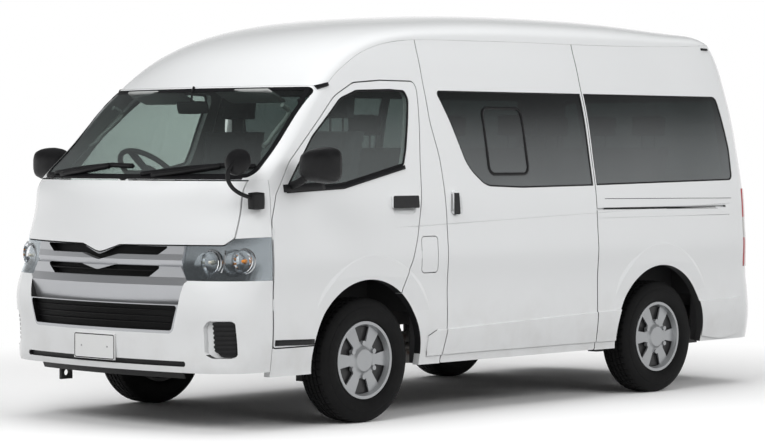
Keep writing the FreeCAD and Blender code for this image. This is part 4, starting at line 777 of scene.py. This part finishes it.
def housing(name, middle, half_size, foot, body):
    # A rounded shell, full at the back where the glass sits, with a crowned front and a slanted top.
    sides, fullness = 40, 0.55
    shape = bmesh.new()
    rings = []
    depths = (
        (1.0, 0.0), (1.0, 0.97), (0.72, 0.985), (0.38, 0.965), (0.0, 0.92), (-0.45, 0.82), (-0.78, 0.64),
        (-0.95, 0.40), (-1.0, 0.12))
    for along, share in depths:
        ring = []
        for k in range(sides):
            angle = 2 * math.pi * k / sides
            c, d = math.cos(angle), math.sin(angle)
            x = math.copysign(abs(c) ** fullness, c) * share
            z = math.copysign(abs(d) ** fullness, d) * share
            inner = max(0.0, -x * foot)
            z = z * (1.0 - 0.10 * inner) - 0.06 * inner * (1 if z > 0 else 0)
            spot = [m + share * half for m, share, half in zip(middle, (x, along, z), half_size)]
            ring.append(shape.verts.new(spot))
        rings.append(ring)
    for first, second in zip(rings, rings[1:]):
        for k in range(sides):
            m = (k + 1) % sides
            shape.faces.new((first[k], first[m], second[m], second[k]))
    shape.faces.new(rings[-1])
    bmesh.ops.remove_doubles(shape, verts=shape.verts, dist=0.00001)
    bmesh.ops.recalc_face_normals(shape, faces=shape.faces)
    return finished(name, made(name, shape), plastic, body)


for side, sign in hands:
    middle, half_size = (sign * 1.096, -1.8325, 1.3985), (0.126, 0.0625, 0.096)
    shell = housing("mirror_shell_" + side, middle, half_size, sign, "door_" + side)
    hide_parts("mirror_" + side)
    bends = ((0.915, -1.845, 1.292), (0.950, -1.845, 1.296), (1.000, -1.838, 1.325), (1.040, -1.832, 1.350))
    foot_line = [(sign * x, y, z) for x, y, z in bends]
    foot = tube("mirror_foot_" + side, foot_line, 0.021, plastic, "door_" + side)
    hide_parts("mirror_" + side)
mirror_glass = Finish("mirror_glass", metallic=1.0)
mirror_glass.tone(mirror_glass.noise(4.0), (0.74, 0.77, 0.78), (0.80, 0.82, 0.83))
mirror_glass.set("Roughness", mirror_glass.noise(90.0, 2.0) * 0.03 + 0.02)
columns, heights = 11, 9
for side, sign in hands:
    shell_skin = skin_of("mirror_" + side)
    shape = bmesh.new()
    rows = []
    for k in range(columns):
        row = []
        for m in range(heights):
            u, v = -1 + 2 * k / (columns - 1), -1 + 2 * m / (heights - 1)
            bulge = 1 - 0.10 * abs(u * v)
            x = sign * (1.096 + 0.094 * u * bulge)
            z = 1.3975 + 0.066 * v * bulge
            place = met(shell_skin, "back", x, z)[0]
            row.append(shape.verts.new(place + Vector((0, 0.0015 - 0.0008 * (u * u + v * v), 0))))
        rows.append(row)
    for first, second in zip(rows, rows[1:]):
        for m in range(heights - 1):
            shape.faces.new((first[m], second[m], second[m + 1], first[m + 1]))
    bmesh.ops.recalc_face_normals(shape, faces=shape.faces)
    if sum(f.normal.y for f in shape.faces) < 0:
        bmesh.ops.reverse_faces(shape, faces=shape.faces)
    name = "mirror_glass_" + side
    finished(name, made(name, shape), mirror_glass, "door_" + side)


def shell_piece(name, middle, size, tilt, finish, body, round_by=0.4):
    # A flat rounded housing: a box drawn in at its edges and smoothed.
    shape = bmesh.new()
    bmesh.ops.create_cube(shape, size=1.0)
    bmesh.ops.subdivide_edges(shape, edges=shape.edges, cuts=6, use_grid_fill=True)
    for vertex in shape.verts:
        ball = vertex.co.normalized() * 0.62
        vertex.co = vertex.co.lerp(ball, round_by)
    turn = Matrix.Rotation(math.radians(tilt), 4, "X")
    shape.transform(Matrix.Translation(middle) @ turn @ Matrix.Diagonal((*size, 1.0)))
    bmesh.ops.recalc_face_normals(shape, faces=shape.faces)
    return finished(name, made(name, shape), finish, body)


pale_trim = Finish("pale_trim", roughness=0.6)
pale_trim.tone(pale_trim.noise(50.0, 3.0), (0.33, 0.34, 0.335), (0.42, 0.43, 0.42))
pale_trim.relief(pale_trim.cells(800.0), 0.0003, 0.3)
screen_skin = skin_of("windshield")
mirror_middle = met(screen_skin, "front", 0.0, 1.725)[0] + Vector((0.0, 0.085, -0.012))
shell_piece("cabin_mirror", mirror_middle, (0.235, 0.030, 0.068), 12, plastic, "body", 0.30)
glass_middle = mirror_middle + Vector((0.0, 0.0125, 0.0))
shell_piece(
    "cabin_mirror_glass", glass_middle, (0.215, 0.010, 0.055), 12, mirror_glass, "body", 0.25)
stem = [mirror_middle + Vector(bend) for bend in ((0, -0.006, 0.0), (0, -0.02, 0.04), (0, 0.01, 0.115))]
tube("cabin_mirror_stem", stem, 0.007, plastic, "body")
for side, sign in hands:
    visor = met(screen_skin, "front", sign * 0.36, 1.765)[0] + Vector((0.0, 0.110, 0.008))
    shell_piece("sun_visor_" + side, visor, (0.43, 0.150, 0.018), -24, pale_trim, "body", 0.18)
    low_end = met(screen_skin, "front", sign * 0.70, 1.52)[0]
    high_end = met(screen_skin, "front", sign * 0.68, 1.70)[0]
    bends = ((sign * 0.01, 0.05, 0.02), (0, 0.10, 0.0), (0, 0.115, -0.03))
    grip_points = [low_end + Vector((x, y, -z)) for x, y, z in bends]
    grip_points += [high_end + Vector(bend) for bend in reversed(bends)]
    tube("pillar_grip_" + side, grip_points, 0.012, pale_trim, "body")

dish = [
    (0.0, 0.0), (0.030, 0.003), (0.055, 0.012), (0.070, 0.026), (0.0735, 0.040), (0.070, 0.044),
    (0.066, 0.040), (0.0, 0.038)]
dish_axis = Vector((-0.35, 0.85, -0.35)).normalized()
dish_back = Vector((0.885, -2.215, 1.425)) - dish_axis * 0.012
bar = [
    (0.884, -2.212, 1.425), (0.870, -2.252, 1.385), (0.866, -2.262, 1.330), (0.880, -2.232, 1.275),
    (0.902, -2.170, 1.240), (0.915, -2.105, 1.225)]
base_place, base_size = (0.912, -2.095, 1.214), (0.042, 0.085, 0.088)
for piece in (
        turned("corner_mirror_dish", dish, dish_back, dish_axis, plastic, "body", 48),
        tube("corner_mirror_arm", bar, 0.011, plastic, "body"),
        shell_piece("corner_mirror_base", base_place, base_size, 0, plastic, "body", 0.22)):
    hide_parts("corner_mirror")


# ---- Tail fittings ----
# A wiper on the tailgate glass, the pull above the plate, the high stop lamp over the glass and a
# reflector at each end of the bumper.
gate_skin = skin_of("tailgate", "tailgate_glass")
blade = stepped([(-0.08, 1.345), (0.36, 1.362)])
moulding("rear_wiper_blade", gate_skin, "back", blade, 0.014, 0.016, rubber, "tailgate")
pivot = (-0.02, 1.262)
arm = stepped([pivot, (0.05, 1.300), (0.16, 1.353)])
moulding("rear_wiper_arm", gate_skin, "back", arm, 0.016, 0.024, plastic, "tailgate")
pivot_place, pivot_normal = met(gate_skin, "back", *pivot)
cap = [(0.0, 0.034), (0.014, 0.031), (0.020, 0.022), (0.021, 0.0), (0.0, -0.001)]
turned("rear_wiper_cap", cap, pivot_place, pivot_normal, plastic, "tailgate", 28)
pull = stepped([(-0.235, 0.963), (0.235, 0.963)])
moulding("tailgate_pull", gate_skin, "back", pull, 0.040, 0.020, paint, "tailgate")
stop_lamp = stepped([(-0.150, 1.872), (0.150, 1.872)])
moulding("stop_lamp", gate_skin, "back", stop_lamp, 0.026, 0.014, red_lens, "tailgate")
tail_skin = skin_of("rear_bumper")
for side, sign in hands:
    line = stepped([(sign * 0.600, 0.445), (sign * 0.700, 0.445)])
    moulding("bumper_reflector_" + side, tail_skin, "back", line, 0.040, 0.006, red_lens, "body")


# ---- Seats ----
# Foam cushions in dark grey cloth with sewn channels, on black steel frames. Each cushion is filled
# by a cloth simulation, then placed at every seat of its kind.
cloth = Finish("seat_cloth", roughness=0.92)
threaded = {"Vector": cloth.place, "Scale": 190.0, "Distortion": 1.5}
threads = cloth.add("ShaderNodeTexWave", {"bands_direction": "X"}, threaded)
cross_threads = cloth.add("ShaderNodeTexWave", {"bands_direction": "Z"}, threaded)
fleck = cloth.noise(140.0, 3.0)
cloth.tone(fleck, (0.045, 0.047, 0.052), (0.085, 0.088, 0.096))
cloth.relief(threads * 0.5 + cross_threads * 0.5 + fleck * 0.3, 0.0008, 0.45)


def padding(name, outline, width, swell, coarse):
    # A cushion from its side outline in (y, z) across a width, about x = 0.
    shape = bmesh.new()
    ends = []
    for x in (-width / 2, width / 2):
        ends.append([shape.verts.new((x, y, z)) for y, z in outline])
    count = len(outline)
    for k in range(count):
        m = (k + 1) % count
        shape.faces.new((ends[0][k], ends[0][m], ends[1][m], ends[1][k]))
    shape.faces.new(ends[0])
    shape.faces.new(ends[1])
    bmesh.ops.recalc_face_normals(shape, faces=shape.faces)
    pad = bpy.data.objects.new(name, made(name, shape))
    bpy.context.scene.collection.objects.link(pad)
    bpy.context.view_layer.objects.active = pad
    remesh = pad.modifiers.new("even", "REMESH")
    remesh.mode = "VOXEL"
    remesh.voxel_size = coarse
    mesh = evaluated(pad)
    pad.modifiers.clear()
    pad.data = mesh
    start = [v.co.copy() for v in mesh.vertices]
    filling = pad.modifiers.new("filling", "CLOTH")
    filling.settings.use_pressure = True
    filling.settings.uniform_pressure_force = 4.0
    filling.settings.effector_weights.gravity = 0.0
    filling.settings.quality = 4
    for step in range(1, 21):
        bpy.context.scene.frame_set(step)
    pad_mesh = evaluated(pad)
    pad.modifiers.clear()
    bpy.context.scene.frame_set(1)
    for vertex, before in zip(pad_mesh.vertices, start):
        move = vertex.co - before
        if move.length > swell:
            vertex.co = before + move * (swell / move.length)
    bpy.data.objects.remove(pad)
    return pad_mesh


def sewn(mesh, lines, deep):
    # Channels are straight dips from front to back, at the given places across.
    channel_half = 0.016
    for vertex in mesh.vertices:
        dip = 0.0
        for place in lines:
            dip = max(dip, 1.0 - abs(vertex.co.x - place) / channel_half)
        if dip > 0:
            vertex.co -= vertex.normal * deep * dip * dip


def placed(name, mesh, shift, node_name):
    # A copy of a cushion at its seat, in place of the seat's solid.
    copy = mesh.copy()
    copy.transform(Matrix.Translation(shift))
    pad = finished(name, copy, cloth, "body")
    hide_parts(node_name)
    return pad


base_outline = [(0.025, 0.030), (0.020, 0.125), (0.410, 0.108), (0.500, 0.060), (0.500, 0.025)]
back_outline = [(0.455, 0.110), (0.578, 0.665), (0.640, 0.660), (0.545, 0.075)]
head_outline = [(0.598, 0.722), (0.606, 0.842), (0.668, 0.834), (0.662, 0.716)]
seat_kinds = {"cab": (0.50, 1), "pair": (1.08, 2), "row": (1.20, 3)}
frame_steel = Finish("seat_frame", roughness=0.5)
frame_steel.tone(frame_steel.noise(20.0), (0.02, 0.02, 0.021), (0.045, 0.045, 0.046))
seat_pads = {}
swell, channel_depth = 0.022, 0.010
for kind, (width, places) in seat_kinds.items():
    coarse = 0.010 if kind == "cab" else 0.014
    pitch = width / places
    cushion = padding("cushion", base_outline, width - 0.04, swell, coarse)
    back = padding("back", back_outline, width - 0.04, swell, coarse)
    middles = [-width / 2 + pitch * (k + 0.5) for k in range(places)]
    lines = [middle + side * pitch * 0.27 for middle in middles for side in (-1, 1)]
    lines += [-width / 2 + pitch * k for k in range(1, places)]
    sewn(cushion, lines, channel_depth)
    sewn(back, lines, channel_depth)
    seat_pads[kind] = (cushion, back, width, pitch, middles)
headrest = padding("headrest", head_outline, 0.23, 0.018, 0.008)

seat_rows = [
    ("front_left", "cab", (0.40, -1.615, 0.9403), "front_seats"),
    ("front_right", "cab", (-0.40, -1.615, 0.9403), "front_seats"),
    ("second", "pair", (-0.17, -0.525, 0.8503), "rear_seats"),
    ("third", "pair", (-0.17, 0.255, 0.8503), "rear_seats"),
    ("back_row", "row", (0.0, 1.215, 0.8503), "rear_seats"),
]
for name, kind, shift, node_name in seat_rows:
    cushion, back, width, pitch, middles = seat_pads[kind]
    placed("cushion_" + name, cushion, Vector(shift), node_name)
    placed("backrest_" + name, back, Vector(shift), node_name)
    frame_shape = bmesh.new()
    for k, middle in enumerate(middles):
        head_place = Vector(shift) + Vector((middle, 0, 0))
        placed("headrest_%s_%d" % (name, k), headrest, head_place, node_name)
        for dx in (-0.05, 0.05):
            spot = Matrix.Translation(Vector(shift) + Vector((middle + dx, 0.632, 0.70)))
            bmesh.ops.create_cone(
                frame_shape, cap_ends=True, segments=12, radius1=0.006, radius2=0.006, depth=0.13,
                matrix=spot)
        legs = 0.06 if kind == "cab" else 0.25
        for dx in (-pitch * 0.36, pitch * 0.36):
            for y in (0.10, 0.42):
                foot = Vector(shift) + Vector((middle + dx, y, -legs / 2 + 0.015))
                spot = Matrix.Translation(foot) @ Matrix.Diagonal((0.035, 0.035, legs + 0.03, 1.0))
                bmesh.ops.create_cube(frame_shape, size=1.0, matrix=spot)
    pan = Matrix.Translation(Vector(shift) + Vector((0, 0.26, 0.016)))
    pan = pan @ Matrix.Diagonal((width - 0.08, 0.44, 0.022, 1.0))
    bmesh.ops.create_cube(frame_shape, size=1.0, matrix=pan)
    corners = [e for e in frame_shape.edges if e.calc_face_angle(0.0) > 1.0]
    bmesh.ops.bevel(
        frame_shape, geom=corners, offset=0.003, segments=2, affect="EDGES", clamp_overlap=True)
    frame_name = "seat_frame_" + name
    held = finished(frame_name, made(frame_name, frame_shape), frame_steel, "body")
    held.data.set_sharp_from_angle(angle=math.radians(40))
    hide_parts(node_name)


# ---- Dashboard and steering wheel ----
# The dashboard is a grained dark grey moulding, and the steering wheel is covered in black leather.
cabin = Finish("cabin_plastic")
cabin_grain = cabin.cells(700.0)
cabin.tone(cabin.noise(30.0, 4.0), (0.055, 0.058, 0.062), (0.080, 0.083, 0.088))
cabin.set("Roughness", cabin.noise(50.0, 3.0) * 0.2 + 0.5)
cabin.relief(cabin_grain, 0.0004, 0.4)
wear(cabin, "dashboard")
leather = Finish("wheel_leather", roughness=0.5)
leather.tone(leather.noise(60.0, 3.0), (0.018, 0.018, 0.019), (0.035, 0.035, 0.037))
leather.relief(leather.cells(420.0), 0.0005, 0.5)
wear(leather, "steering_wheel")
